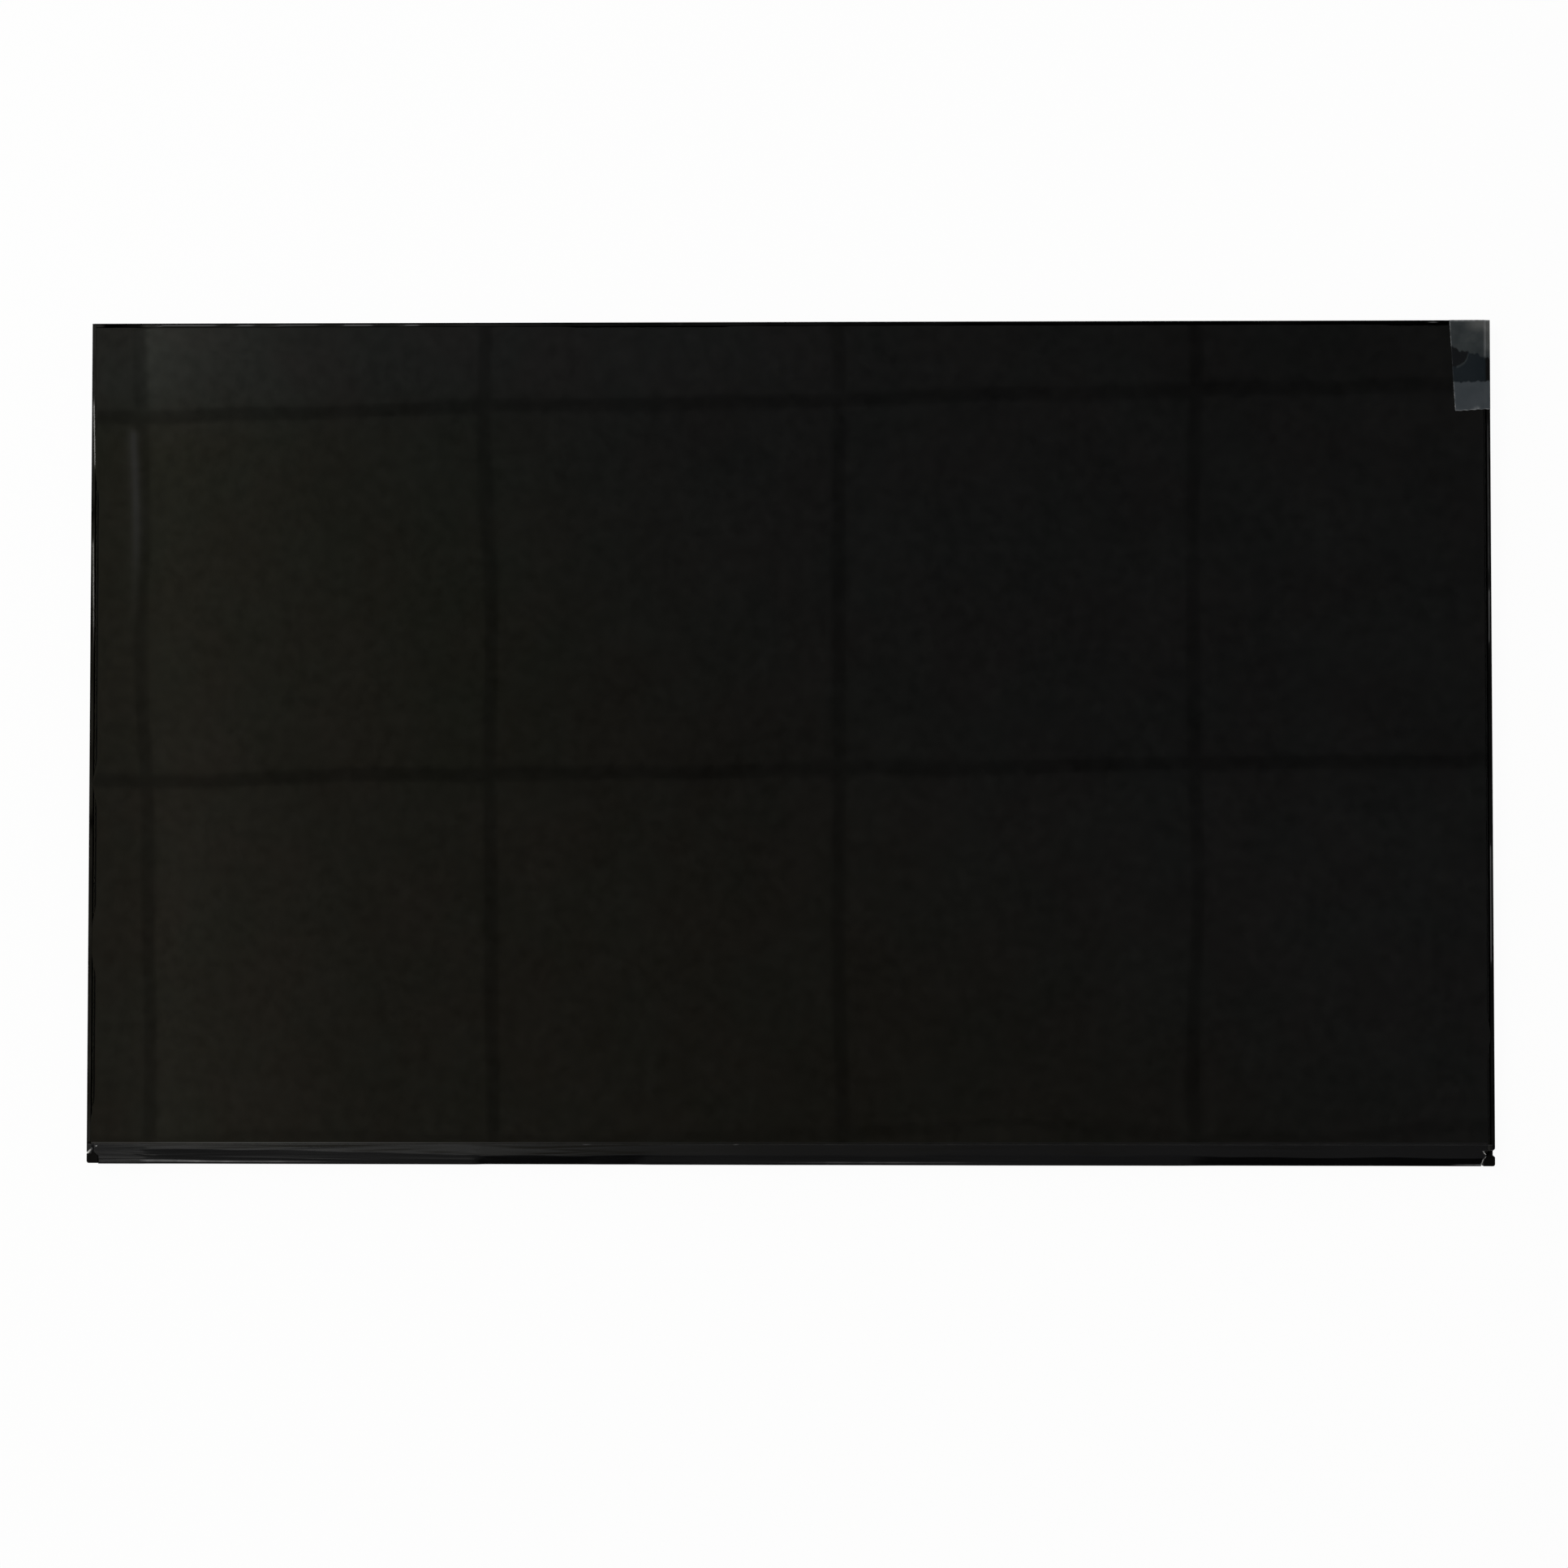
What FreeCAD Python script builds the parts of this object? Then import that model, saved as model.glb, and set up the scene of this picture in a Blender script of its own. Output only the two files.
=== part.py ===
import FreeCAD, Part
import math
import os
import Sketcher

# A bare notebook display module: a liquid-crystal cell over its backlight, in a moulded frame.
# Millimetres. X runs along the long side, Y up the picture, Z out of the display face.
# The origin is the middle of the outline, on the rear plane that the panel lies on.

SIZES = {
    # outline, and the dark border between the outline and the picture
    "panel_width": "299.8",
    "panel_height": "180.2",
    "side_border": "3",
    "top_border": "2.6",
    "image_margin": "0.3",
    # thickness of each layer, from the rear
    "plateau_depth": "0.1",
    "cover_sheet": "0.3",
    "reflector_film": "0.2",
    "guide_plate": "0.7",
    "diffuser_film": "0.12",
    "prism_film": "0.15",
    "film_gap": "0.08",
    "frame_ledge": "0.25",
    "rim_tape_film": "0.06",
    "rear_polariser_film": "0.14",
    "array_pane": "0.4",
    "filter_pane": "0.4",
    "front_polariser_film": "0.18",
    "face_film": "0.06",
    # moulded frame
    "frame_wall": "0.75",
    "wall_drop": "0.13",
    "corner_radius": "0.5",
    "foot_width": "2.4",
    "foot_depth": "1.4",
    "end_block": "17",
    "block_wall": "1",
    "block_core_depth": "1.1",
    "notch_rise": "1.9",
    "notch_height": "1.8",
    "notch_depth": "0.5",
    "slit_width": "0.4",
    # snap locks between the frame and the rear cover
    "side_locks": "4",
    "top_locks": "6",
    "tooth_length": "5",
    "tooth_reach": "0.2",
    "tooth_height": "0.45",
    "tooth_lip": "0.12",
    "lock_play": "0.08",
    "lock_side_play": "0.6",
    "lock_rise": "0.35",
    # rear cover
    "cover_gap": "0.1",
    "flange_gap": "0.15",
    "lower_flange_gap": "0.1",
    "bend_inside": "0.1",
    "corner_relief": "1.6",
    "rim_width": "8",
    "plateau_corner": "3",
    "plateau_slope": "60",
    # sheets of the backlight
    "sheet_gap": "0.3",
    "ear_length": "8",
    "ear_play": "0.4",
    "ear_end_gap": "0.12",
    # light bar
    "led_count": "36",
    "led_length": "3.8",
    "led_depth": "1",
    "led_height": "0.6",
    "led_rim": "0.12",
    "led_recess": "0.15",
    "led_margin": "6",
    "led_gap": "0.15",
    "guide_gap": "0.1",
    "light_flex": "0.12",
    "light_bar_lap": "1.15",
    "light_bar_end_gap": "0.5",
    "light_bar_adhesive": "0.06",
    "film_setback": "0.2",
    "film_lip": "0.85",
    "tail_inset": "11",
    "tail_width": "8",
    "tail_notch_depth": "1.1",
    "tail_notch_gap": "0.5",
    "tail_bond": "1.4",
    # cell
    "glass_gap": "0.3",
    "polariser_setback": "0.3",
    "glass_ledge": "1.95",
    "glass_setback": "0.1",
    "chip_length": "22",
    "chip_depth": "1",
    "chip_height": "0.3",
    "chip_gap": "0.2",
    # wrap of flexes and black tape round the lower edge
    "drive_count": "4",
    "flex_width": "26",
    "flex_film": "0.08",
    "flex_glass_bond": "0.55",
    "flex_board_bond": "1.5",
    "wrap_gap": "0.03",
    "bar_setback": "0.1",
    "edge_tape_film": "0.05",
    "edge_tape_setback": "0.2",
    "edge_tape_lap": "1.42",
    "edge_tape_gap": "0.08",
    "edge_tape_end_gap": "0.2",
    "edge_tape_return": "0.75",
    # circuit board
    "board_thickness": "0.5",
    "board_height": "6.95",
    "board_end_gap": "0.6",
    "board_corner": "0.8",
    "board_pad_film": "0.06",
    "board_pad_count": "6",
    "board_pad_length": "30",
    "board_pad_margin": "0.6",
    "cover_setback": "0.2",
    "cover_tape_film": "0.06",
    "cover_tape_lap": "5",
    "cover_tape_end_lap": "3.5",
    "cover_tape_window_left": "44",
    "cover_tape_window_right": "18",
    "cover_tape_window_gap": "0.15",
    "plateau_tape_gap": "1",
    # parts on the board
    "part_line": "5.4",
    "timing_offset": "32",
    "timing_length": "7",
    "timing_depth": "4.2",
    "timing_height": "0.9",
    "timing_bevel": "0.1",
    "power_count": "3",
    "power_side": "3.6",
    "power_height": "0.75",
    "inductor_side": "3",
    "inductor_height": "0.95",
    "inductor_corner": "0.7",
    "capacitor_margin": "6",
    "capacitor_count": "15",
    "capacitor_length": "1.6",
    "capacitor_depth": "0.8",
    "capacitor_height": "0.8",
    # signal socket
    "socket_length": "22",
    "socket_depth": "4.4",
    "socket_height": "0.9",
    "socket_setback": "0.9",
    "mouth_length": "17.4",
    "mouth_height": "0.5",
    "mouth_depth": "2.9",
    "mouth_floor": "0.22",
    "contact_count": "30",
    "contact_pitch": "0.5",
    "contact_width": "0.2",
    "contact_thickness": "0.1",
    "contact_setback": "0.4",
    "contact_play": "0.02",
    "contact_foot": "0.5",
    "shell_sheet": "0.12",
    "shell_leg": "3",
    # clear tape on the film
    "pull_tab_film": "0.06",
    "pull_tab_upper": "8.9",
    "pull_tab_lower": "7.6",
    "pull_tab_length": "19.2",
    "pull_tab_edge_length": "18.7",
    "pull_tab_flap": "1.6",
}

# Rear face of each layer, as an expression over the sheet.
COVER = "(Sizes.plateau_depth)"
REFLECTOR = f"({COVER} + Sizes.cover_sheet)"
GUIDE = f"({REFLECTOR} + Sizes.reflector_film)"
DIFFUSER = f"({GUIDE} + Sizes.guide_plate)"
LOWER_PRISM = f"({DIFFUSER} + Sizes.diffuser_film)"
UPPER_PRISM = f"({LOWER_PRISM} + Sizes.prism_film)"
LEDGE = f"({UPPER_PRISM} + Sizes.prism_film + Sizes.film_gap)"
RIM_TAPE = f"({LEDGE} + Sizes.frame_ledge)"
REAR_POLARISER = f"({RIM_TAPE} + Sizes.rim_tape_film)"
ARRAY = f"({REAR_POLARISER} + Sizes.rear_polariser_film)"
FILTER = f"({ARRAY} + Sizes.array_pane)"
FRONT_POLARISER = f"({FILTER} + Sizes.filter_pane)"
FILM = f"({FRONT_POLARISER} + Sizes.front_polariser_film)"
FACE = f"({FILM} + Sizes.face_film)"
WALL_TOP = f"({FILM} - Sizes.wall_drop)"
BOARD_FRONT = f"({LEDGE} - Sizes.board_pad_film)"
BOARD_REAR = f"({BOARD_FRONT} - Sizes.board_thickness)"
LIGHT_BAR_TAPE = f"({DIFFUSER} + Sizes.light_flex)"
RIB = f"({LIGHT_BAR_TAPE} + Sizes.light_bar_adhesive)"
FLANGE_TOP = f"({LEDGE} - Sizes.flange_gap)"
LOWER_FLANGE_TOP = f"({DIFFUSER} - Sizes.lower_flange_gap)"
TOOTH = f"({REFLECTOR} + Sizes.lock_rise)"

# Distance of each line of the lower edge from the foot of the outline.
BEND_RADIUS = f"(({FILTER} - {BOARD_REAR}) / 2)"
BEND_MIDDLE = f"(({FILTER} + {BOARD_REAR}) / 2)"
FLEX_OUTSIDE = f"({BEND_RADIUS} + Sizes.flex_film)"
TAPE_INSIDE = f"({FLEX_OUTSIDE} + Sizes.wrap_gap)"
TAPE_OUTSIDE = f"({TAPE_INSIDE} + Sizes.edge_tape_film)"
BEND_LINE = f"(Sizes.edge_tape_setback + {TAPE_OUTSIDE})"
BAR_EDGE = f"({BEND_LINE} + Sizes.bar_setback)"
ARRAY_EDGE = f"({BAR_EDGE} + Sizes.glass_setback)"
FILTER_EDGE = f"({ARRAY_EDGE} + Sizes.glass_ledge)"
CHIP_TOP = f"({FILTER_EDGE} - Sizes.chip_gap)"
CHIP_EDGE = f"({CHIP_TOP} - Sizes.chip_depth)"
TAPE_TOP = f"({FILTER_EDGE} + Sizes.edge_tape_lap)"
POLARISER_EDGE = f"({TAPE_TOP} + Sizes.edge_tape_gap)"
BOARD_TOP = f"({BAR_EDGE} + Sizes.board_height)"
COVER_EDGE = f"({BOARD_TOP} + Sizes.cover_setback)"
FLANGE_EDGE = f"({COVER_EDGE} + Sizes.cover_sheet)"
BEND_EDGE = f"({FLANGE_EDGE} + Sizes.bend_inside)"
RELIEF_EDGE = f"({COVER_EDGE} + Sizes.corner_relief)"
LED_EDGE = f"({FLANGE_EDGE} + Sizes.led_gap)"
GUIDE_EDGE = f"({LED_EDGE} + Sizes.led_depth + Sizes.guide_gap)"
LIGHT_BAR_TOP = f"({GUIDE_EDGE} + Sizes.light_bar_lap)"
FILM_EDGE = f"({LIGHT_BAR_TOP} + Sizes.film_setback)"
WINDOW_EDGE = f"({FILM_EDGE} + Sizes.film_lip)"
PLATEAU_EDGE = f"({COVER_EDGE} + Sizes.cover_tape_lap + Sizes.plateau_tape_gap)"
SOCKET_EDGE = f"({BAR_EDGE} + Sizes.socket_setback)"
SOCKET_BACK = f"({SOCKET_EDGE} + Sizes.socket_depth)"
TAIL_NOTCH = f"({BOARD_TOP} - Sizes.tail_notch_depth)"

# Distance of each line from the frame's outside, at the left, the right and the top.
COVER_INSET = "(Sizes.frame_wall + Sizes.cover_gap)"
FLANGE_INSET = f"({COVER_INSET} + Sizes.cover_sheet)"
BEND_INSET = f"({FLANGE_INSET} + Sizes.bend_inside)"
RELIEF_INSET = f"({COVER_INSET} + Sizes.corner_relief)"
SHEET_INSET = f"({FLANGE_INSET} + Sizes.sheet_gap)"
LIGHT_BAR_INSET = f"({SHEET_INSET} + Sizes.light_bar_end_gap)"
GLASS_INSET = "(Sizes.frame_wall + Sizes.glass_gap)"
POLARISER_INSET = f"({GLASS_INSET} + Sizes.polariser_setback)"
WINDOW_SIDE = "(Sizes.side_border - Sizes.image_margin)"
WINDOW_TOP = "(Sizes.top_border - Sizes.image_margin)"
EDGE_TAPE_INSET = "(Sizes.foot_width + Sizes.edge_tape_end_gap)"
BOARD_INSET = "(Sizes.end_block + Sizes.board_end_gap)"
BOARD_LENGTH = f"(Sizes.panel_width - 2 * {BOARD_INSET})"

# Places along the panel: flexes, locks and ears are spread evenly, the socket sits between two flexes.
DRIVE_PITCH = f"({BOARD_LENGTH} / Sizes.drive_count)"
SOCKET_MIDDLE = f"({DRIVE_PITCH} * (Sizes.drive_count - 2) / 2)"
TIMING_MIDDLE = f"({SOCKET_MIDDLE} - Sizes.timing_offset)"
TAIL_MIDDLE = f"(Sizes.panel_width / 2 - {BOARD_INSET} - Sizes.tail_inset)"
SOCKET_LEFT = f"({SOCKET_MIDDLE} - Sizes.socket_length / 2)"
SOCKET_RIGHT = f"({SOCKET_MIDDLE} + Sizes.socket_length / 2)"
TIMING_RIGHT = f"({TIMING_MIDDLE} + Sizes.timing_length / 2)"
# One inductor and the power chips share out the board between the socket and the light bar's tail.
PART_PITCH = f"(({TAIL_MIDDLE} - Sizes.tail_width / 2 - {SOCKET_RIGHT}) / (Sizes.power_count + 1))"
INDUCTOR_MIDDLES = {
    "left_core": f"(({TIMING_RIGHT} + {SOCKET_LEFT}) / 2)",
    "right_core": f"({SOCKET_RIGHT} + {PART_PITCH} / 2)",
}
LOCK_PITCH = "(Sizes.panel_height / (Sizes.side_locks + 1))"
TOP_LOCK_PITCH = "(Sizes.panel_width / Sizes.top_locks)"
FIRST_LOCK = f"(-1 * {LOCK_PITCH} * (Sizes.side_locks - 1) / 2)"
FIRST_TOP_LOCK = f"(-1 * {TOP_LOCK_PITCH} * (Sizes.top_locks - 1) / 2)"
EAR_MIDDLE = f"({LOCK_PITCH} * (Sizes.side_locks - 2) / 2)"
EAR_MIDDLES = (f"(-1 * {EAR_MIDDLE})", EAR_MIDDLE)

DOC = FreeCAD.newDocument("DisplayPanel")
SHEET = DOC.addObject("Spreadsheet::Sheet", "Sizes")

# A sketch on the XZ plane looks along +Y, so its offset runs the other way.
OFFSET_SIGN = {"XY_Plane": "", "YZ_Plane": "", "XZ_Plane": "-1 * "}
NEAR = 1e-6
LEFT_TURN = 1
RIGHT_TURN = -1


def fill_sheet():
    """Write the driving dimensions into the spreadsheet, one named cell each."""
    for row, (name, text) in enumerate(SIZES.items(), 1):
        SHEET.set(f"A{row}", name)
        SHEET.set(f"B{row}", text)
        SHEET.setAlias(f"B{row}", name)
    DOC.recompute()


def value(expression):
    """The number that an expression over the sheet comes to."""
    return float(SHEET.evalExpression(expression))


def left(inset):
    return f"(-Sizes.panel_width / 2 + {inset})"


def right(inset):
    return f"(Sizes.panel_width / 2 - {inset})"


def top(inset):
    return f"(Sizes.panel_height / 2 - {inset})"


def bottom(rise):
    return f"(-Sizes.panel_height / 2 + {rise})"


def rectangle(x_low, y_low, x_high, y_high):
    return [(x_low, y_low), (x_high, y_low), (x_high, y_high), (x_low, y_high)]


def spread(middle, size):
    """The two ends of a size laid evenly about a middle."""
    return f"({middle} - {size} / 2)", f"({middle} + {size} / 2)"


def new_body(label):
    body = DOC.addObject("PartDesign::Body", label)
    body.Label = label
    return body


def origin_feature(body, role):
    return next(feature for feature in body.Origin.OriginFeatures if feature.Role == role)


def bent_edge(start, stop, radius, turn):
    """The shorter arc of a given radius between two points."""
    chord = stop - start
    middle = (start + stop) * 0.5
    across = FreeCAD.Vector(-chord.y, chord.x) * (turn / chord.Length)
    rise = math.sqrt(max(radius ** 2 - (chord.Length / 2) ** 2, 0))
    centre = middle + across * rise
    return Part.Arc(start, centre - across * radius, stop)


def draw_edges(sketch, corners):
    """Draw a closed loop; gives each edge's index and which of its ends comes first."""
    points = [FreeCAD.Vector(value(corner[0]), value(corner[1])) for corner in corners]
    edges = []
    for place, corner in enumerate(corners):
        start = points[place]
        stop = points[(place + 1) % len(points)]
        if len(corner) == 2:
            edge = Part.LineSegment(start, stop)
        else:
            edge = bent_edge(start, stop, value(corner[2]), corner[3])
        index = sketch.addGeometry(edge)
        forward = sketch.getPoint(index, 1).distanceToPoint(start) < NEAR
        edges.append((index, 1, 2) if forward else (index, 2, 1))
    return edges


def bind(sketch, expression, kind, *place):
    """Add a dimension to a sketch and bind it to an expression."""
    index = sketch.addConstraint(Sketcher.Constraint(kind, *place, value(expression)))
    sketch.setExpression(f"Constraints[{index}]", expression)


def add_loop(sketch, corners):
    """Draw a closed loop with both coordinates of each corner, and each arc's radius, bound."""
    edges = draw_edges(sketch, corners)
    for place, (index, _, last) in enumerate(edges):
        following, first, _ = edges[(place + 1) % len(edges)]
        sketch.addConstraint(Sketcher.Constraint("Coincident", index, last, following, first))
    for corner, (index, first, _) in zip(corners, edges):
        bind(sketch, corner[0], "DistanceX", -1, 1, index, first)
        bind(sketch, corner[1], "DistanceY", -1, 1, index, first)
        if len(corner) > 2:
            bind(sketch, corner[2], "Radius", index)


def add_sketch(body, name, plane, loops, level):
    sketch = body.newObject("Sketcher::SketchObject", f"{name}_sketch")
    sketch.AttachmentSupport = [(origin_feature(body, plane), "")]
    sketch.MapMode = "FlatFace"
    sketch.setExpression(".AttachmentOffset.Base.z", f"{OFFSET_SIGN[plane]}{level}")
    for corners in loops:
        add_loop(sketch, corners)
    return sketch


def pad(body, name, loops, low, high, plane="XY_Plane"):
    """Raise outlines from one level to another; on the XZ plane they start at the higher Y."""
    level = high if plane == "XZ_Plane" else low
    feature = body.newObject("PartDesign::Pad", f"{body.Label}_{name}")
    feature.Profile = add_sketch(body, feature.Name, plane, loops, level)
    feature.setExpression("Length", f"{high} - {low}")
    return feature


def pocket(body, name, loops, low, high, plane="XY_Plane"):
    """Cut outlines out between two levels; on the XZ plane the cut starts at the lower Y."""
    level = low if plane == "XZ_Plane" else high
    feature = body.newObject("PartDesign::Pocket", f"{body.Label}_{name}")
    feature.Profile = add_sketch(body, feature.Name, plane, loops, level)
    feature.setExpression("Length", f"{high} - {low}")
    return feature


def row(body, features, axis, pitch, count):
    """Repeat features along an axis of the body."""
    DOC.recompute()
    pattern = body.newObject("PartDesign::LinearPattern", f"{features[0].Name}_row")
    pattern.Originals = features
    pattern.Direction = (origin_feature(body, axis), [""])
    pattern.setExpression("Length", f"{pitch} * ({count} - 1)")
    pattern.setExpression("Occurrences", count)
    body.Tip = pattern
    return pattern


def round_edges(body, name, radius, chosen):
    """Fillet the edges of the body so far that a test picks."""
    DOC.recompute()
    base = body.Tip
    names = [f"Edge{place}" for place, edge in enumerate(base.Shape.Edges, 1) if chosen(edge)]
    fillet = body.newObject("PartDesign::Fillet", f"{body.Label}_{name}")
    fillet.Base = (base, names)
    fillet.setExpression("Radius", radius)
    return fillet


def along(axis, **places):
    """A test for straight edges along one axis whose middle has the given coordinates."""
    wanted = {name: [value(text) for text in texts] for name, texts in places.items()}

    def chosen(edge):
        box = edge.BoundBox
        extent = {"x": box.XLength, "y": box.YLength, "z": box.ZLength}
        if max(extent[name] for name in extent if name != axis) > NEAR:
            return False
        middle = box.Center
        return all(min(abs(getattr(middle, name) - number) for number in numbers) < NEAR
                   for name, numbers in wanted.items())

    return chosen


def plain_sheet(label, loops, low, film):
    """A flat sheet of one thickness."""
    body = new_body(label)
    pad(body, "sheet", loops, low, f"({low} + {film})")
    return body


def ears(side_line, reach, facing):
    """The corners of the two locating ears on one side, from the lower to the upper."""
    corners = []
    for middle in EAR_MIDDLES:
        low, high = spread(middle, "Sizes.ear_length")
        outer = f"({side_line} {facing} {reach})"
        corners += [(side_line, low), (outer, low), (outer, high), (side_line, high)]
    return corners


def eared_outline(lower_line):
    """Outline of a backlight sheet, with ears that pass through gaps in the cover's flanges."""
    reach = f"({SHEET_INSET} - Sizes.frame_wall - Sizes.ear_end_gap)"
    left_line = left(SHEET_INSET)
    right_line = right(SHEET_INSET)
    low = bottom(lower_line)
    high = top(SHEET_INSET)
    rising = ears(right_line, reach, "+")
    falling = list(reversed(ears(left_line, reach, "-")))
    return [(left_line, low), (right_line, low), *rising, (right_line, high), (left_line, high), *falling]


def inset_outline(inset, lower_line):
    return rectangle(left(inset), bottom(lower_line), right(inset), top(inset))


def cut_outline(inset, lower_line):
    """As inset_outline, with the lower corners cut off at 45 degrees to clear the frame's feet."""
    cut = f"(Sizes.foot_width + Sizes.foot_depth + 2 * Sizes.glass_gap - {inset} - {lower_line})"
    cut_inset, cut_line = f"({inset} + {cut})", f"({lower_line} + {cut})"
    return [
        (left(cut_inset), bottom(lower_line)), (right(cut_inset), bottom(lower_line)),
        (right(inset), bottom(cut_line)), (right(inset), top(inset)),
        (left(inset), top(inset)), (left(inset), bottom(cut_line)),
    ]


def light_bar_outline(inset):
    return rectangle(left(inset), bottom(COVER_EDGE), right(inset), bottom(LIGHT_BAR_TOP))


def build_rear_cover():
    """Pressed sheet: a plateau to lie on, and flanges with lock windows and gaps for the ears."""
    body = new_body("rear_cover")
    pad(body, "base", [inset_outline(BEND_INSET, BEND_EDGE)], COVER, REFLECTOR)
    add_cover_flanges(body)
    add_plateau(body)
    cut_cover_windows(body)
    return body


def flange_section(outside, inward, high):
    """Section of a flange and its fold, from the sheet's flat to the flange's free edge."""
    sheet = "Sizes.cover_sheet"
    fold = f"(Sizes.bend_inside + {sheet})"
    face = f"({outside} {inward} {sheet})"
    flat = f"({outside} {inward} {fold})"
    outer_turn = RIGHT_TURN if inward == "+" else LEFT_TURN
    return [
        (flat, COVER, fold, outer_turn), (outside, f"({COVER} + {fold})"), (outside, high), (face, high),
        (face, f"({REFLECTOR} + Sizes.bend_inside)", "Sizes.bend_inside", -outer_turn), (flat, REFLECTOR),
    ]


def add_cover_flanges(body):
    """Flanges on the three sides that snap in the frame, and a lower one behind the lights."""
    sides = [flange_section(left(COVER_INSET), "+", FLANGE_TOP),
             flange_section(right(COVER_INSET), "-", FLANGE_TOP)]
    pad(body, "side_flanges", sides, bottom(RELIEF_EDGE), top(RELIEF_INSET), "XZ_Plane")
    ends = [flange_section(top(COVER_INSET), "-", FLANGE_TOP),
            flange_section(bottom(COVER_EDGE), "+", LOWER_FLANGE_TOP)]
    pad(body, "end_flanges", ends, left(RELIEF_INSET), right(RELIEF_INSET), "YZ_Plane")


def add_plateau(body):
    """Press the middle of the sheet outwards: a tapered rise behind and its hollow in front."""
    inset = f"({COVER_INSET} + Sizes.rim_width)"
    x_low, x_high = left(inset), right(inset)
    y_low, y_high = bottom(PLATEAU_EDGE), top(inset)
    turn = "Sizes.plateau_corner"
    outline = [
        (f"({x_low} + {turn})", y_low), (f"({x_high} - {turn})", y_low, turn, LEFT_TURN),
        (x_high, f"({y_low} + {turn})"), (x_high, f"({y_high} - {turn})", turn, LEFT_TURN),
        (f"({x_high} - {turn})", y_high), (f"({x_low} + {turn})", y_high, turn, LEFT_TURN),
        (x_low, f"({y_high} - {turn})"), (x_low, f"({y_low} + {turn})", turn, LEFT_TURN),
    ]
    rise = pad(body, "plateau", [outline], "0", COVER)
    rise.Profile[0].setExpression(".AttachmentOffset.Base.z", COVER)
    rise.Reversed = True
    rise.setExpression("TaperAngle", "-1 * Sizes.plateau_slope")
    hollow_floor = f"({REFLECTOR} - Sizes.plateau_depth)"
    hollow = pocket(body, "plateau_hollow", [outline], hollow_floor, REFLECTOR)
    hollow.setExpression("TaperAngle", "-1 * Sizes.plateau_slope")


def cut_cover_windows(body):
    """Cut the lock windows for the frame's teeth, and the gaps for the sheets' ears."""
    low = f"({TOOTH} - Sizes.lock_play)"
    high = f"({TOOTH} + Sizes.tooth_height + Sizes.lock_play)"
    window = "(Sizes.tooth_length + Sizes.lock_side_play)"
    y_low, y_high = spread(FIRST_LOCK, window)
    side = pocket(body, "side_windows", [rectangle(y_low, low, y_high, high)],
                  left("0"), right("0"), "YZ_Plane")
    row(body, [side], "Y_Axis", LOCK_PITCH, "Sizes.side_locks")
    x_low, x_high = spread(FIRST_TOP_LOCK, window)
    upper = pocket(body, "top_windows", [rectangle(x_low, low, x_high, high)],
                   top(SHEET_INSET), top("0"), "XZ_Plane")
    row(body, [upper], "X_Axis", TOP_LOCK_PITCH, "Sizes.top_locks")
    gap = "(Sizes.ear_length + 2 * Sizes.ear_play)"
    gap_loops = []
    for middle in EAR_MIDDLES:
        low_end, high_end = spread(middle, gap)
        gap_loops.append(rectangle(low_end, REFLECTOR, high_end, LEDGE))
    pocket(body, "ear_gaps", gap_loops, left("0"), right("0"), "YZ_Plane")


def build_mould_frame():
    """Moulded frame: thin walls, the ledge that carries the cell, feet, cored end blocks and teeth."""
    body = new_body("mould_frame")
    wall, foot, rise = "Sizes.frame_wall", "Sizes.foot_width", "Sizes.foot_depth"
    slope_end = f"({rise} + {foot} - {wall})"
    walls = [
        (left("0"), bottom("0")), (left(foot), bottom("0")), (left(foot), bottom(rise)),
        (left(wall), bottom(slope_end)), (left(wall), top(wall)), (right(wall), top(wall)),
        (right(wall), bottom(slope_end)), (right(foot), bottom(rise)), (right(foot), bottom("0")),
        (right("0"), bottom("0")), (right("0"), top("0")), (left("0"), top("0")),
    ]
    pad(body, "walls", [walls], COVER, WALL_TOP)
    corners = along("z", x=[left("0"), right("0")], y=[bottom("0"), top("0")])
    round_edges(body, "corners", "Sizes.corner_radius", corners)
    add_ledge(body)
    add_end_blocks(body)
    add_teeth(body)
    cut_corner_notches(body)
    return body


def add_ledge(body):
    """The ring that carries the cell, and the rib that presses the light bar on the light guide."""
    half_wall = "(Sizes.frame_wall / 2)"
    outside = inset_outline(half_wall, BAR_EDGE)
    window = rectangle(left(WINDOW_SIDE), bottom(WINDOW_EDGE), right(WINDOW_SIDE), top(WINDOW_TOP))
    pad(body, "ledge", [outside, window], LEDGE, RIM_TAPE)
    pad(body, "light_bar_rib", [light_bar_outline(LIGHT_BAR_INSET)], RIB, RIM_TAPE)


def add_end_blocks(body):
    """Solid ends on both sides of the board, cored from the rear to an even wall."""
    wall = "Sizes.block_wall"
    outer, inner = "(Sizes.frame_wall / 2)", "Sizes.end_block"
    low = bottom(f"({BEND_LINE} + Sizes.edge_tape_return + Sizes.bar_setback)")
    high = bottom(BOARD_TOP)
    blocks = [rectangle(left(outer), low, left(inner), high),
              rectangle(right(inner), low, right(outer), high)]
    pad(body, "end_blocks", blocks, COVER, RIM_TAPE)
    core_outer = "(Sizes.foot_width + Sizes.block_wall)"
    core_inner = f"({inner} - {wall})"
    core_low, core_high = f"({low} + {wall})", f"({high} - {wall})"
    cores = [rectangle(left(core_outer), core_low, left(core_inner), core_high),
             rectangle(right(core_inner), core_low, right(core_outer), core_high)]
    pocket(body, "cores", cores, COVER, f"({COVER} + Sizes.block_core_depth)")


def tooth_profile(root, tip, low):
    """Section of a snap tooth: a slanted lead-in below and a flat catch above."""
    catch = f"({low} + Sizes.tooth_height)"
    lip = f"({catch} - Sizes.tooth_lip)"
    return [(root, low), (tip, lip), (tip, catch), (root, catch)]


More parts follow.
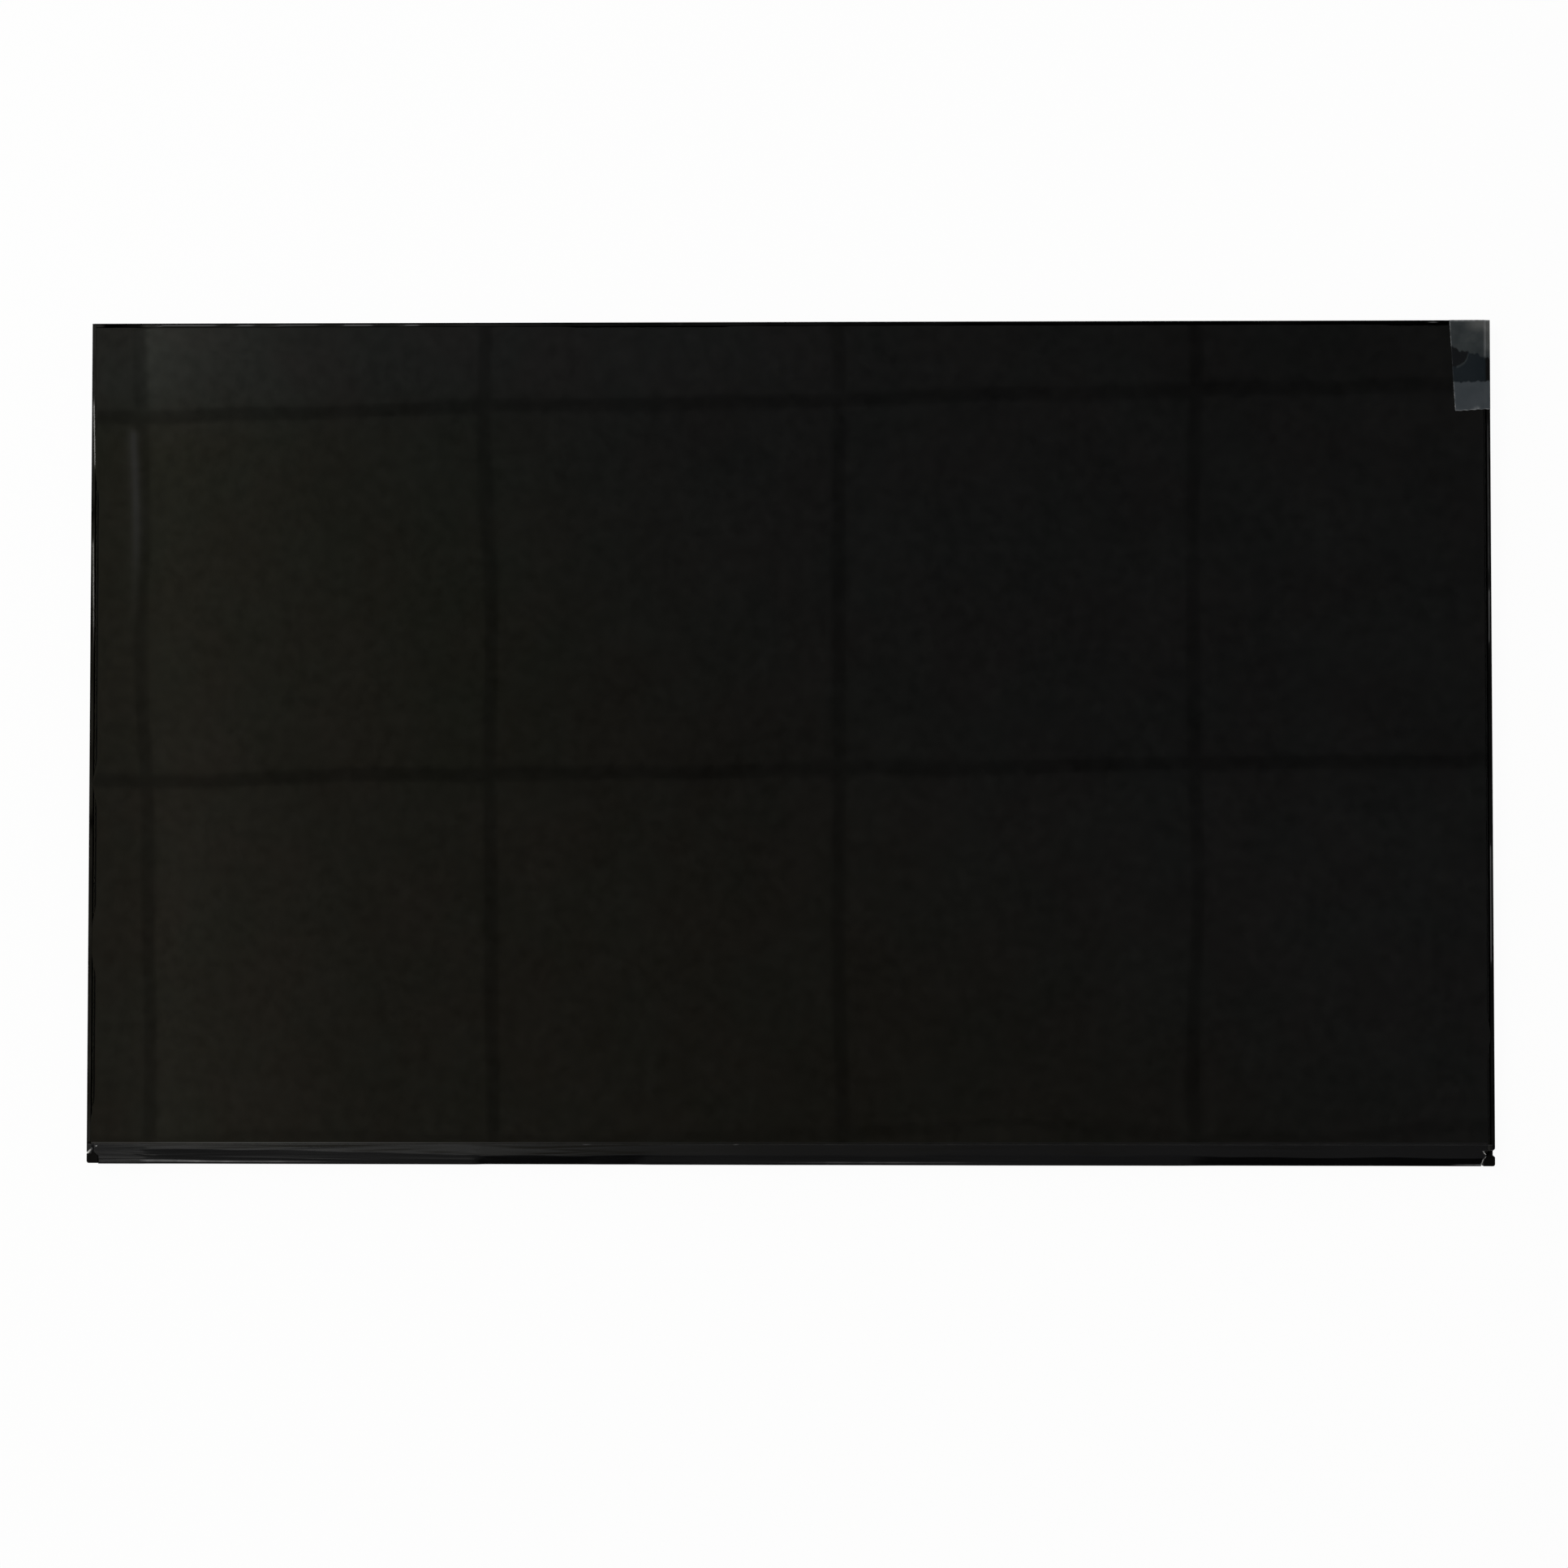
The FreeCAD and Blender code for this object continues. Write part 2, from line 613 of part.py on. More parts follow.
def add_teeth(body):
    """Rows of snap teeth inside the walls, one for each window of the rear cover."""
    root = "(Sizes.frame_wall / 2)"
    tip = f"({COVER_INSET} + Sizes.tooth_reach)"
    y_low, y_high = spread(FIRST_LOCK, "Sizes.tooth_length")
    profiles = [tooth_profile(left(root), left(tip), TOOTH), tooth_profile(right(root), right(tip), TOOTH)]
    sides = pad(body, "side_teeth", profiles, y_low, y_high, "XZ_Plane")
    row(body, [sides], "Y_Axis", LOCK_PITCH, "Sizes.side_locks")
    x_low, x_high = spread(FIRST_TOP_LOCK, "Sizes.tooth_length")
    upper = pad(body, "top_teeth", [tooth_profile(top(root), top(tip), TOOTH)], x_low, x_high, "YZ_Plane")
    row(body, [upper], "X_Axis", TOP_LOCK_PITCH, "Sizes.top_locks")


def cut_corner_notches(body):
    """The slanted slit in the left wall and the open notch in the right one, above the feet."""
    deep = "Sizes.notch_depth"
    low, high = "Sizes.notch_rise", "(Sizes.notch_rise + Sizes.notch_height)"
    slope = "(Sizes.notch_height / 2)"
    slit_high = "(Sizes.notch_rise + Sizes.slit_width)"
    slit = [(left("0"), bottom(low)), (left(deep), bottom(f"({low} + {slope})")),
            (left(deep), bottom(f"({slit_high} + {slope})")), (left("0"), bottom(slit_high))]
    floor_low, floor_high = f"({low} + {slope} / 2)", f"({high} - {slope} / 2)"
    notch = [(right("0"), bottom(low)), (right("0"), bottom(high)),
             (right(deep), bottom(floor_high)), (right(deep), bottom(floor_low))]
    pocket(body, "corner_notches", [slit, notch], COVER, WALL_TOP)


def build_backlight_sheets():
    """The reflector, the light guide and the films over it, each with the same ears."""
    film_outline = eared_outline(FILM_EDGE)
    return [
        plain_sheet("reflector_sheet", [eared_outline(BEND_EDGE)], REFLECTOR, "Sizes.reflector_film"),
        plain_sheet("light_guide", [eared_outline(GUIDE_EDGE)], GUIDE, "Sizes.guide_plate"),
        plain_sheet("diffuser_sheet", [film_outline], DIFFUSER, "Sizes.diffuser_film"),
        plain_sheet("lower_prism_sheet", [film_outline], LOWER_PRISM, "Sizes.prism_film"),
        plain_sheet("upper_prism_sheet", [film_outline], UPPER_PRISM, "Sizes.prism_film"),
    ]


def build_led_flex():
    """Printed film over the row of lights, with a tail that steps down to the board's rear face."""
    body = new_body("led_flex")
    pad(body, "strip", [light_bar_outline(LIGHT_BAR_INSET)], DIFFUSER, LIGHT_BAR_TAPE)
    film = "Sizes.light_flex"
    bond_end = bottom(f"({TAIL_NOTCH} - Sizes.tail_bond)")
    lower_bend = bottom(f"({TAIL_NOTCH} + {film})")
    upper_bend = bottom(f"({BOARD_TOP} - {film})")
    joined = bottom(FLANGE_EDGE)
    tail = [
        (bond_end, f"({BOARD_REAR} - {film})"), (lower_bend, f"({BOARD_REAR} - {film})"),
        (upper_bend, DIFFUSER), (joined, DIFFUSER), (joined, LIGHT_BAR_TAPE),
        (upper_bend, LIGHT_BAR_TAPE), (lower_bend, BOARD_REAR), (bond_end, BOARD_REAR),
    ]
    x_low, x_high = spread(TAIL_MIDDLE, "Sizes.tail_width")
    pad(body, "tail", [tail], x_low, x_high, "YZ_Plane")
    return body


def build_leds():
    """Side-emitting lights under the flex, each with a shallow window towards the light guide."""
    body = new_body("leds")
    x_low = left("Sizes.led_margin")
    x_high = f"({x_low} + Sizes.led_length)"
    y_low = bottom(LED_EDGE)
    y_high = f"({y_low} + Sizes.led_depth)"
    z_low = f"({DIFFUSER} - Sizes.led_height)"
    case = pad(body, "case", [rectangle(x_low, y_low, x_high, y_high)], z_low, DIFFUSER)
    rim = "Sizes.led_rim"
    opening = rectangle(f"({x_low} + {rim})", f"({z_low} + {rim})",
                        f"({x_high} - {rim})", f"({DIFFUSER} - {rim})")
    window = pocket(body, "window", [opening], f"({y_high} - Sizes.led_recess)", y_high, "XZ_Plane")
    pitch = "((Sizes.panel_width - 2 * Sizes.led_margin - Sizes.led_length) / (Sizes.led_count - 1))"
    row(body, [case, window], "X_Axis", pitch, "Sizes.led_count")
    return body


def build_light_bar_tape():
    """Adhesive between the light bar's flex and the frame's rib."""
    inset = f"({LIGHT_BAR_INSET} + Sizes.light_bar_end_gap)"
    outline = light_bar_outline(inset)
    return plain_sheet("light_bar_tape", [outline], LIGHT_BAR_TAPE, "Sizes.light_bar_adhesive")


def build_cell():
    """The cell on its tape: polariser, two panes, polariser, and the clear film on the face."""
    pane_outline = cut_outline(GLASS_INSET, ARRAY_EDGE)
    rim_inset = f"({WINDOW_SIDE} - Sizes.image_margin)"
    rim_window = rectangle(left(rim_inset), bottom(f"({FILM_EDGE} + Sizes.image_margin)"),
                           right(rim_inset), top(f"({WINDOW_TOP} - Sizes.image_margin)"))
    rear_outline = cut_outline(POLARISER_INSET, f"({ARRAY_EDGE} + Sizes.polariser_setback)")
    face_outline = inset_outline(POLARISER_INSET, POLARISER_EDGE)
    return [
        plain_sheet("rim_tape", [pane_outline, rim_window], RIM_TAPE, "Sizes.rim_tape_film"),
        plain_sheet("rear_polariser", [rear_outline], REAR_POLARISER, "Sizes.rear_polariser_film"),
        plain_sheet("array_glass", [pane_outline], ARRAY, "Sizes.array_pane"),
        plain_sheet("filter_glass", [inset_outline(GLASS_INSET, FILTER_EDGE)], FILTER, "Sizes.filter_pane"),
        plain_sheet("front_polariser", [face_outline], FRONT_POLARISER, "Sizes.front_polariser_film"),
        plain_sheet("protective_film", [face_outline], FILM, "Sizes.face_film"),
    ]


def first_drive(size):
    """The two ends of the first of the driver chips or flexes."""
    return spread(f"(-1 * {DRIVE_PITCH} * (Sizes.drive_count - 1) / 2)", size)


def build_driver_chips():
    """Driver chips bonded on the ledge of the array glass."""
    body = new_body("driver_chips")
    x_low, x_high = first_drive("Sizes.chip_length")
    outline = rectangle(x_low, bottom(CHIP_EDGE), x_high, bottom(CHIP_TOP))
    chip = pad(body, "chip", [outline], FILTER, f"({FILTER} + Sizes.chip_height)")
    row(body, [chip], "X_Axis", DRIVE_PITCH, "Sizes.drive_count")
    return body


def bend_corners(radius, turn, downwards):
    """Three corners of a half turn round the lower edge, as two quarter arcs."""
    line = bottom(BEND_LINE)
    high = (line, f"({BEND_MIDDLE} + {radius})")
    outermost = (f"({line} - {radius})", BEND_MIDDLE, radius, turn)
    low = (line, f"({BEND_MIDDLE} - {radius})")
    first, last = (high, low) if downwards else (low, high)
    return [(*first, radius, turn), outermost, last]


def build_board_flexes():
    """Printed films from the glass ledge, bent round the lower edge to the rear of the board."""
    body = new_body("board_flexes")
    glass_end = bottom(f"({ARRAY_EDGE} + Sizes.flex_glass_bond)")
    board_end = bottom(f"({BAR_EDGE} + Sizes.flex_board_bond)")
    profile = [
        (glass_end, f"({BEND_MIDDLE} + {FLEX_OUTSIDE})"),
        *bend_corners(FLEX_OUTSIDE, LEFT_TURN, True),
        (board_end, f"({BEND_MIDDLE} - {FLEX_OUTSIDE})"),
        (board_end, f"({BEND_MIDDLE} - {BEND_RADIUS})"),
        *bend_corners(BEND_RADIUS, RIGHT_TURN, False),
        (glass_end, f"({BEND_MIDDLE} + {BEND_RADIUS})"),
    ]
    x_low, x_high = first_drive("Sizes.flex_width")
    flex = pad(body, "flex", [profile], x_low, x_high, "YZ_Plane")
    row(body, [flex], "X_Axis", DRIVE_PITCH, "Sizes.drive_count")
    return body


def build_edge_tape():
    """Black tape from the glass, down over the chips and round the lower edge to the board."""
    body = new_body("edge_tape")
    film = "Sizes.edge_tape_film"
    chip_face = f"({FILTER} + Sizes.chip_height + Sizes.wrap_gap)"
    chip_line = bottom(f"({CHIP_EDGE} - Sizes.wrap_gap)")
    glass_line = bottom(FILTER_EDGE)
    lap_line = bottom(TAPE_TOP)
    return_line = bottom(f"({BEND_LINE} + Sizes.edge_tape_return)")
    profile = [
        (lap_line, f"({FRONT_POLARISER} + {film})"), (glass_line, f"({FRONT_POLARISER} + {film})"),
        (chip_line, f"({chip_face} + {film})"),
        *bend_corners(TAPE_OUTSIDE, LEFT_TURN, True),
        (return_line, f"({BEND_MIDDLE} - {TAPE_OUTSIDE})"), (return_line, f"({BEND_MIDDLE} - {TAPE_INSIDE})"),
        *bend_corners(TAPE_INSIDE, RIGHT_TURN, False),
        (chip_line, chip_face), (glass_line, FRONT_POLARISER), (lap_line, FRONT_POLARISER),
    ]
    pad(body, "wrap", [profile], left(EDGE_TAPE_INSET), right(EDGE_TAPE_INSET), "YZ_Plane")
    band = rectangle(left(POLARISER_INSET), glass_line, right(POLARISER_INSET), lap_line)
    pad(body, "band", [band], FRONT_POLARISER, f"({FRONT_POLARISER} + {film})")
    return body


def build_source_board():
    """Narrow circuit board behind the lower edge, notched for the light bar's tail."""
    body = new_body("source_board")
    gap = "(Sizes.tail_width + 2 * Sizes.tail_notch_gap)"
    notch_low, notch_high = spread(TAIL_MIDDLE, gap)
    x_low, x_high = left(BOARD_INSET), right(BOARD_INSET)
    y_low, y_high, y_notch = bottom(BAR_EDGE), bottom(BOARD_TOP), bottom(TAIL_NOTCH)
    outline = [(x_low, y_low), (x_high, y_low), (x_high, y_high), (notch_high, y_high),
               (notch_high, y_notch), (notch_low, y_notch), (notch_low, y_high), (x_low, y_high)]
    pad(body, "blank", [outline], BOARD_REAR, BOARD_FRONT)
    round_edges(body, "corners", "Sizes.board_corner", along("z", x=[x_low, x_high]))
    return body


def build_board_adhesive():
    """Adhesive pads that hold the board under the frame."""
    body = new_body("board_adhesive")
    margin = "Sizes.board_pad_margin"
    pitch = f"({BOARD_LENGTH} / Sizes.board_pad_count)"
    x_low, x_high = spread(f"(-1 * {pitch} * (Sizes.board_pad_count - 1) / 2)", "Sizes.board_pad_length")
    y_low, y_high = bottom(f"({BAR_EDGE} + {margin})"), bottom(f"({TAIL_NOTCH} - {margin})")
    outline = rectangle(x_low, y_low, x_high, y_high)
    adhesive = pad(body, "pad", [outline], BOARD_FRONT, LEDGE)
    row(body, [adhesive], "X_Axis", pitch, "Sizes.board_pad_count")
    return body


def on_board(body, name, x_low, length, depth, height):
    """A flat part seated on the board's rear face, on the line of parts."""
    y_low, y_high = spread(bottom("Sizes.part_line"), depth)
    outline = rectangle(x_low, y_low, f"({x_low} + {length})", y_high)
    return pad(body, name, [outline], f"({BOARD_REAR} - {height})", BOARD_REAR)


def build_board_parts():
    """The chips, inductors and capacitors on the board."""
    timing = new_body("timing_chip")
    timing_left = spread(TIMING_MIDDLE, "Sizes.timing_length")[0]
    on_board(timing, "case", timing_left, "Sizes.timing_length", "Sizes.timing_depth", "Sizes.timing_height")
    lower_rim = f"({BOARD_REAR} - Sizes.timing_height)"
    round_edges(timing, "bevel", "Sizes.timing_bevel",
                lambda edge: abs(edge.BoundBox.Center.z - value(lower_rim)) < NEAR)
    power = new_body("power_chips")
    power_left = spread(f"({SOCKET_RIGHT} + {PART_PITCH} * 1.5)", "Sizes.power_side")[0]
    chip = on_board(power, "case", power_left, "Sizes.power_side", "Sizes.power_side", "Sizes.power_height")
    row(power, [chip], "X_Axis", PART_PITCH, "Sizes.power_count")
    return [timing, power, build_capacitors(), build_inductors()]


def build_capacitors():
    """A row of capacitors between the board's left end and the timing chip."""
    body = new_body("board_capacitors")
    x_low = f"({left(BOARD_INSET)} + Sizes.capacitor_margin)"
    stretch = f"({TIMING_MIDDLE} - Sizes.timing_length / 2 - {x_low})"
    block = on_board(body, "block", x_low, "Sizes.capacitor_length", "Sizes.capacitor_depth",
                     "Sizes.capacitor_height")
    row(body, [block], "X_Axis", f"({stretch} / Sizes.capacitor_count)", "Sizes.capacitor_count")
    return body


def build_inductors():
    """A moulded inductor with rounded corners at each end of the socket."""
    body = new_body("board_inductors")
    turn = "Sizes.inductor_corner"
    y_low, y_high = spread(bottom("Sizes.part_line"), "Sizes.inductor_side")
    for name, middle in INDUCTOR_MIDDLES.items():
        x_low, x_high = spread(middle, "Sizes.inductor_side")
        outline = [
            (f"({x_low} + {turn})", y_low), (f"({x_high} - {turn})", y_low, turn, LEFT_TURN),
            (x_high, f"({y_low} + {turn})"), (x_high, f"({y_high} - {turn})", turn, LEFT_TURN),
            (f"({x_high} - {turn})", y_high), (f"({x_low} + {turn})", y_high, turn, LEFT_TURN),
            (x_low, f"({y_high} - {turn})"), (x_low, f"({y_low} + {turn})", turn, LEFT_TURN),
        ]
        pad(body, name, [outline], f"({BOARD_REAR} - Sizes.inductor_height)", BOARD_REAR)
    return body


def first_contact(width):
    """The two ends of the first of the contacts, or of its slot."""
    middle = f"({SOCKET_MIDDLE} - Sizes.contact_pitch * (Sizes.contact_count - 1) / 2)"
    return spread(middle, width)


def contact_level():
    """Rear and front face of the contact blades, which lie on the mouth's front wall."""
    front = f"({BOARD_REAR} - Sizes.mouth_floor)"
    return f"({front} - Sizes.contact_thickness)", front


def build_connector_housing():
    """Moulded socket with a wide flat mouth towards the lower edge and a slot for each contact."""
    body = new_body("connector_housing")
    x_low, x_high = spread(SOCKET_MIDDLE, "Sizes.socket_length")
    outline = rectangle(x_low, bottom(SOCKET_EDGE), x_high, bottom(SOCKET_BACK))
    pad(body, "block", [outline], f"({BOARD_REAR} - Sizes.socket_height)", BOARD_REAR)
    mouth_left, mouth_right = spread(SOCKET_MIDDLE, "Sizes.mouth_length")
    mouth_front = f"({BOARD_REAR} - Sizes.mouth_floor)"
    mouth_rear = f"({mouth_front} - Sizes.mouth_height)"
    mouth = rectangle(mouth_left, mouth_rear, mouth_right, mouth_front)
    pocket(body, "mouth", [mouth], bottom(SOCKET_EDGE), bottom(f"({SOCKET_EDGE} + Sizes.mouth_depth)"),
           "XZ_Plane")
    slot_left, slot_right = first_contact("(Sizes.contact_width + 2 * Sizes.contact_play)")
    rear, front = contact_level()
    slot = rectangle(slot_left, f"({rear} - Sizes.contact_play)", slot_right, front)
    inside = bottom(f"({SOCKET_EDGE} + Sizes.mouth_depth / 2)")
    cut = pocket(body, "contact_slots", [slot], inside, bottom(SOCKET_BACK), "XZ_Plane")
    row(body, [cut], "X_Axis", "Sizes.contact_pitch", "Sizes.contact_count")
    return body


def build_connector_contacts():
    """Stamped contacts: a blade in the mouth and a foot soldered to the board behind the socket."""
    body = new_body("connector_contacts")
    rear, front = contact_level()
    blade_end = bottom(f"({SOCKET_EDGE} + Sizes.contact_setback)")
    leg = f"({bottom(SOCKET_BACK)} + Sizes.contact_play)"
    leg_back = f"({leg} + Sizes.contact_thickness)"
    foot_end = f"({leg_back} + Sizes.contact_foot)"
    foot_rear = f"({BOARD_REAR} - Sizes.contact_thickness)"
    profile = [
        (blade_end, rear), (leg_back, rear), (leg_back, foot_rear), (foot_end, foot_rear),
        (foot_end, BOARD_REAR), (leg, BOARD_REAR), (leg, front), (blade_end, front),
    ]
    x_low, x_high = first_contact("Sizes.contact_width")
    contact = pad(body, "contact", [profile], x_low, x_high, "YZ_Plane")
    row(body, [contact], "X_Axis", "Sizes.contact_pitch", "Sizes.contact_count")
    return body


def build_connector_shell():
    """Folded shield over the socket: a plate behind it and a soldered leg at each end."""
    body = new_body("connector_shell")
    sheet = "Sizes.shell_sheet"
    inner_left, inner_right = spread(SOCKET_MIDDLE, "Sizes.socket_length")
    outer_left, outer_right = f"({inner_left} - {sheet})", f"({inner_right} + {sheet})"
    plate_front = f"({BOARD_REAR} - Sizes.socket_height)"
    plate_rear = f"({plate_front} - {sheet})"
    section = [
        (outer_left, plate_rear), (outer_right, plate_rear), (outer_right, BOARD_REAR),
        (inner_right, BOARD_REAR), (inner_right, plate_front), (inner_left, plate_front),
        (inner_left, BOARD_REAR), (outer_left, BOARD_REAR),
    ]
    leg_end = f"({SOCKET_EDGE} + Sizes.shell_leg)"
    pad(body, "fold", [section], bottom(SOCKET_EDGE), bottom(leg_end), "XZ_Plane")
    plate = rectangle(outer_left, bottom(SOCKET_EDGE), outer_right, bottom(SOCKET_BACK))
    pad(body, "plate", [plate], plate_rear, plate_front)
    return body


def build_board_cover_tape():
    """Black insulating sheet from the rear cover's rim over the board, open at the socket."""
    inset = "(Sizes.end_block - Sizes.cover_tape_end_lap)"
    y_low, y_high = bottom(BAR_EDGE), bottom(f"({COVER_EDGE} + Sizes.cover_tape_lap)")
    window_top = bottom(f"({BOARD_TOP} - Sizes.cover_tape_window_gap)")
    window_left = f"({SOCKET_MIDDLE} - Sizes.cover_tape_window_left)"
    window_right = f"({SOCKET_MIDDLE} + Sizes.cover_tape_window_right)"
    outline = [
        (left(inset), y_low), (window_left, y_low), (window_left, window_top), (window_right, window_top),
        (window_right, y_low), (right(inset), y_low), (right(inset), y_high), (left(inset), y_high),
    ]
    rear = f"({COVER} - Sizes.cover_tape_film)"
    return plain_sheet("board_cover_tape", [outline], rear, "Sizes.cover_tape_film")


def build_pull_tab():
    """Clear tape on the film at the upper right corner, folded over the edge of the frame."""
    body = new_body("pull_tab")
    front = f"({FACE} + Sizes.pull_tab_film)"
    side_low = top("Sizes.pull_tab_edge_length")
    outline = [
        (right("Sizes.pull_tab_upper"), top("0")),
        (right("Sizes.pull_tab_lower"), top("Sizes.pull_tab_length")),
        (right("0"), side_low), (right("0"), top("0")),
    ]
    pad(body, "sheet", [outline], FACE, front)
    flap = rectangle(right("0"), side_low, f"({right('0')} + Sizes.pull_tab_film)", top("0"))
    pad(body, "flap", [flap], f"({front} - Sizes.pull_tab_flap)", front)
    return body


def build_all():
    return [
        build_rear_cover(), build_mould_frame(), *build_backlight_sheets(),
        build_led_flex(), build_leds(), build_light_bar_tape(),
        *build_cell(), build_driver_chips(), build_board_flexes(), build_edge_tape(),
        build_source_board(), build_board_adhesive(), *build_board_parts(),
        build_connector_housing(), build_connector_contacts(), build_connector_shell(),
        build_board_cover_tape(), build_pull_tab(),
    ]


def check(body):
    """Stop on a feature that failed or a shape that is not sound."""
    for feature in [body, *body.Group]:
        if "Invalid" in feature.State or "Error" in feature.State:
            raise RuntimeError(f"{feature.Name} did not build: {feature.State}")
    if not body.Shape.isValid() or not body.Shape.Solids:
        raise RuntimeError(f"{body.Label} has no sound solid")


def main():
    fill_sheet()
    bodies = build_all()
    DOC.recompute()
    os.makedirs("parts", exist_ok=True)
    for body in bodies:
        check(body)
        body.Shape.exportStep(f"parts/{body.Label}.step")


main()
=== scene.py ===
import math

import bpy
import numpy as np
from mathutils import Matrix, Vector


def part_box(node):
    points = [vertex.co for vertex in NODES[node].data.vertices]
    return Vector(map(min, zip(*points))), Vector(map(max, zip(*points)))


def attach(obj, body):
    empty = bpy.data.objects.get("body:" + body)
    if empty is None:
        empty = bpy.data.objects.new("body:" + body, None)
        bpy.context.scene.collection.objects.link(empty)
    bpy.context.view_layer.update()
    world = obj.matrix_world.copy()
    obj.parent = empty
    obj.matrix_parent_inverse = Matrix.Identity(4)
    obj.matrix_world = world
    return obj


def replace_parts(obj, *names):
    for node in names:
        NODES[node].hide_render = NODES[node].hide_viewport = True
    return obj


# A bare notebook display module lying face up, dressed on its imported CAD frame.
# Points are worked out in millimetres in the CAD frame and put into the meshes in metres.

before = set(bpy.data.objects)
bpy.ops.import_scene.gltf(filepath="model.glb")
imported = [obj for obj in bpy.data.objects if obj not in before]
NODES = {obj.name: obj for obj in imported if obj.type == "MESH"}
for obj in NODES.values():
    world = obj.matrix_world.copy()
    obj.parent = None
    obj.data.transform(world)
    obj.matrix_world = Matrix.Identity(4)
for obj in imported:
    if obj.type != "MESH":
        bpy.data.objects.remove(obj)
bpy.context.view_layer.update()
MM = 0.001
BODY = "root"
SHARP_ANGLE = math.radians(38)
UV_PER_MM = 0.01

# The camera stands almost straight over the panel, a little to the right and below its middle. Its turn is
# in degrees.
CAMERA_PLACE = np.array([4.69, -18.32, 450.0])
CAMERA_TURN = (1.185, 0.712, 0.023)
CAMERA_LENS = 48.044
SENSOR_WIDTH = 36.0

# The clear film on the face: long shallow swells, and a rim that droops over the layer below.
FILM_COLUMNS = 198
FILM_ROWS = 116
FILM_SEED = 41
FILM_SWELLS = 9
FILM_SLOPE = 0.0007
FILM_WAVE_SHORT = 26.0
FILM_WAVE_LONG = 120.0
FILM_FADE = 6.0
FILM_DROOP = 0.006
FILM_DROOP_WIDTH = 0.30
RIM_STEPS = np.array([0.0, 0.05, 0.10, 0.16, 0.23, 0.30, 0.50])
RIM_WIDTH = 1.0
# The film's cut edge: its waver, and how far in from the rim a pull on it is felt at the sides and the foot.
FILM_WAVER = 0.03
FILM_PULL = 4.0
FILM_FOOT_PULL = 30.0
# How far that edge lies inside the layer below, and how far it reaches over the gap to the wall along the
# listed stretches: side, from and to along it.
FILM_INSET = {"left": 0.35, "right": 0.12, "top": 0.0}
FILM_REACH = {"left": 0.80, "right": 0.60, "top": 0.42}
FILM_REACH_SOFT = 2.5
FILM_REACHES = (("left", 55.0, 95.0), ("left", -12.0, -6.0), ("left", -48.0, -37.0), ("left", -95.0, -78.0),
                ("right", -65.0, -60.0), ("top", -150.0, -46.0), ("top", -14.0, 129.0))

# The tops of the frame's walls: a thin smooth skin, sunk a little into the wall, dull and painted darker at
# its two edges as a painted shade of the rounded outer edge and of the gap beside the film.
# On the left and right it runs from the corner foot to the upper end.
WALL_COLUMNS = 24
WALL_ROWS = 900
WALL_WIDTH = 0.84
WALL_SKIN = 0.02
WALL_SINK = 0.01
WALL_INSET = 0.01
WALL_EDGE = 0.14
WALL_FOOT = 4.6
WALL_HEAD = 0.02
# How glossy it is on each side, and where that changes: side, from and to along it, softness and change.
WALL_SHEEN = {"left": 0.74, "right": 0.42, "top": 0.80}
SHEEN_CHANGES = (("left", 47.5, 51.0, 2.0, -0.6), ("left", -19.0, -15.5, 2.0, -0.6),
                 ("right", 25.0, 120.0, 15.0, 0.45), ("right", -50.0, -18.0, 5.0, 0.3),
                 ("top", -49.0, 170.0, 13.0, -0.35), ("top", 32.5, 170.0, 12.5, -0.45),
                 ("top", -147.5, -139.0, 1.0, -0.8))
# The stretches where it tips outwards and catches the light: side, from and to along it, how far in from the
# outer edge at each end, and its share.
TIP_SOFT = 1.5
# TIP_SHEEN raises the gloss where the skin tips, so that the glints its tilt makes are painted brighter.
TIP_SHEEN = 1.1
TIP_SLOPES = {"left": 0.085, "right": 0.27, "top": 0.40}
TIP_WIDTHS = {"left": 0.20, "right": 0.18, "top": 0.17}
WALL_TIPS = (("left", 57.0, 75.0, 0.84, 0.36, 1.0), ("left", 19.5, 45.0, 0.84, 0.44, 1.12),
             ("right", 19.0, 34.5, 0.58, 0.50, 1.0), ("right", 34.5, 70.0, 0.57, 0.57, 0.76),
             ("right", -49.0, -20.0, 0.60, 0.55, 1.0), ("top", -137.0, -121.0, 0.44, 0.44, 0.85),
             ("top", -120.4, -113.2, 0.50, 0.50, 1.0), ("top", -112.0, -99.0, 0.46, 0.46, 0.8),
             ("top", -97.5, -87.6, 0.52, 0.52, 1.0), ("top", -84.2, -77.6, 0.53, 0.53, 1.0),
             ("top", -23.4, -22.4, 0.22, 0.22, 1.0), ("top", 135.6, 140.0, 0.44, 0.44, 1.4))

# The tape's cut edge, and the film's lower edge beside it, run a little askew: this much lower at the left.
ASKEW = 0.5

# The black tape round the lower edge: its grid, with closer columns in a small share at each end, its
# thickness, how far it stands off and bulges past the solid below, and how its ends ride up at the feet.
TAPE_COLUMNS = 420
TAPE_END_COLUMNS = 44
TAPE_END = 0.011
TAPE_ROWS = 96
TAPE_FILM = 0.05
TAPE_LIFT = 0.04
TAPE_BULGE = 0.41
TAPE_TAPER = 0.05
TAPE_END_RISE = 0.16
TAPE_END_STEP = (148.2, 149.0)
# How far it reaches past the solid at its two ends, how far it is cut back above the left foot, and how far
# the tear runs in at the right.
TAPE_PAST_LEFT = 1.15
TAPE_PAST_RIGHT = 0.75
TAPE_FOOT_CUT = 2.15
TEAR_DEPTH = 1.9
# How far it runs from its cut edge to each turn, and how long each turn is.
TAPE_LENGTH = 7.5
TAPE_FOLD = 1.05
TAPE_FOLD_TURN = 0.36
TAPE_ROLL = 4.25
TAPE_ROLL_TURN = 0.75
TAPE_UNDER = 5.9
TAPE_UNDER_TURN = 0.9
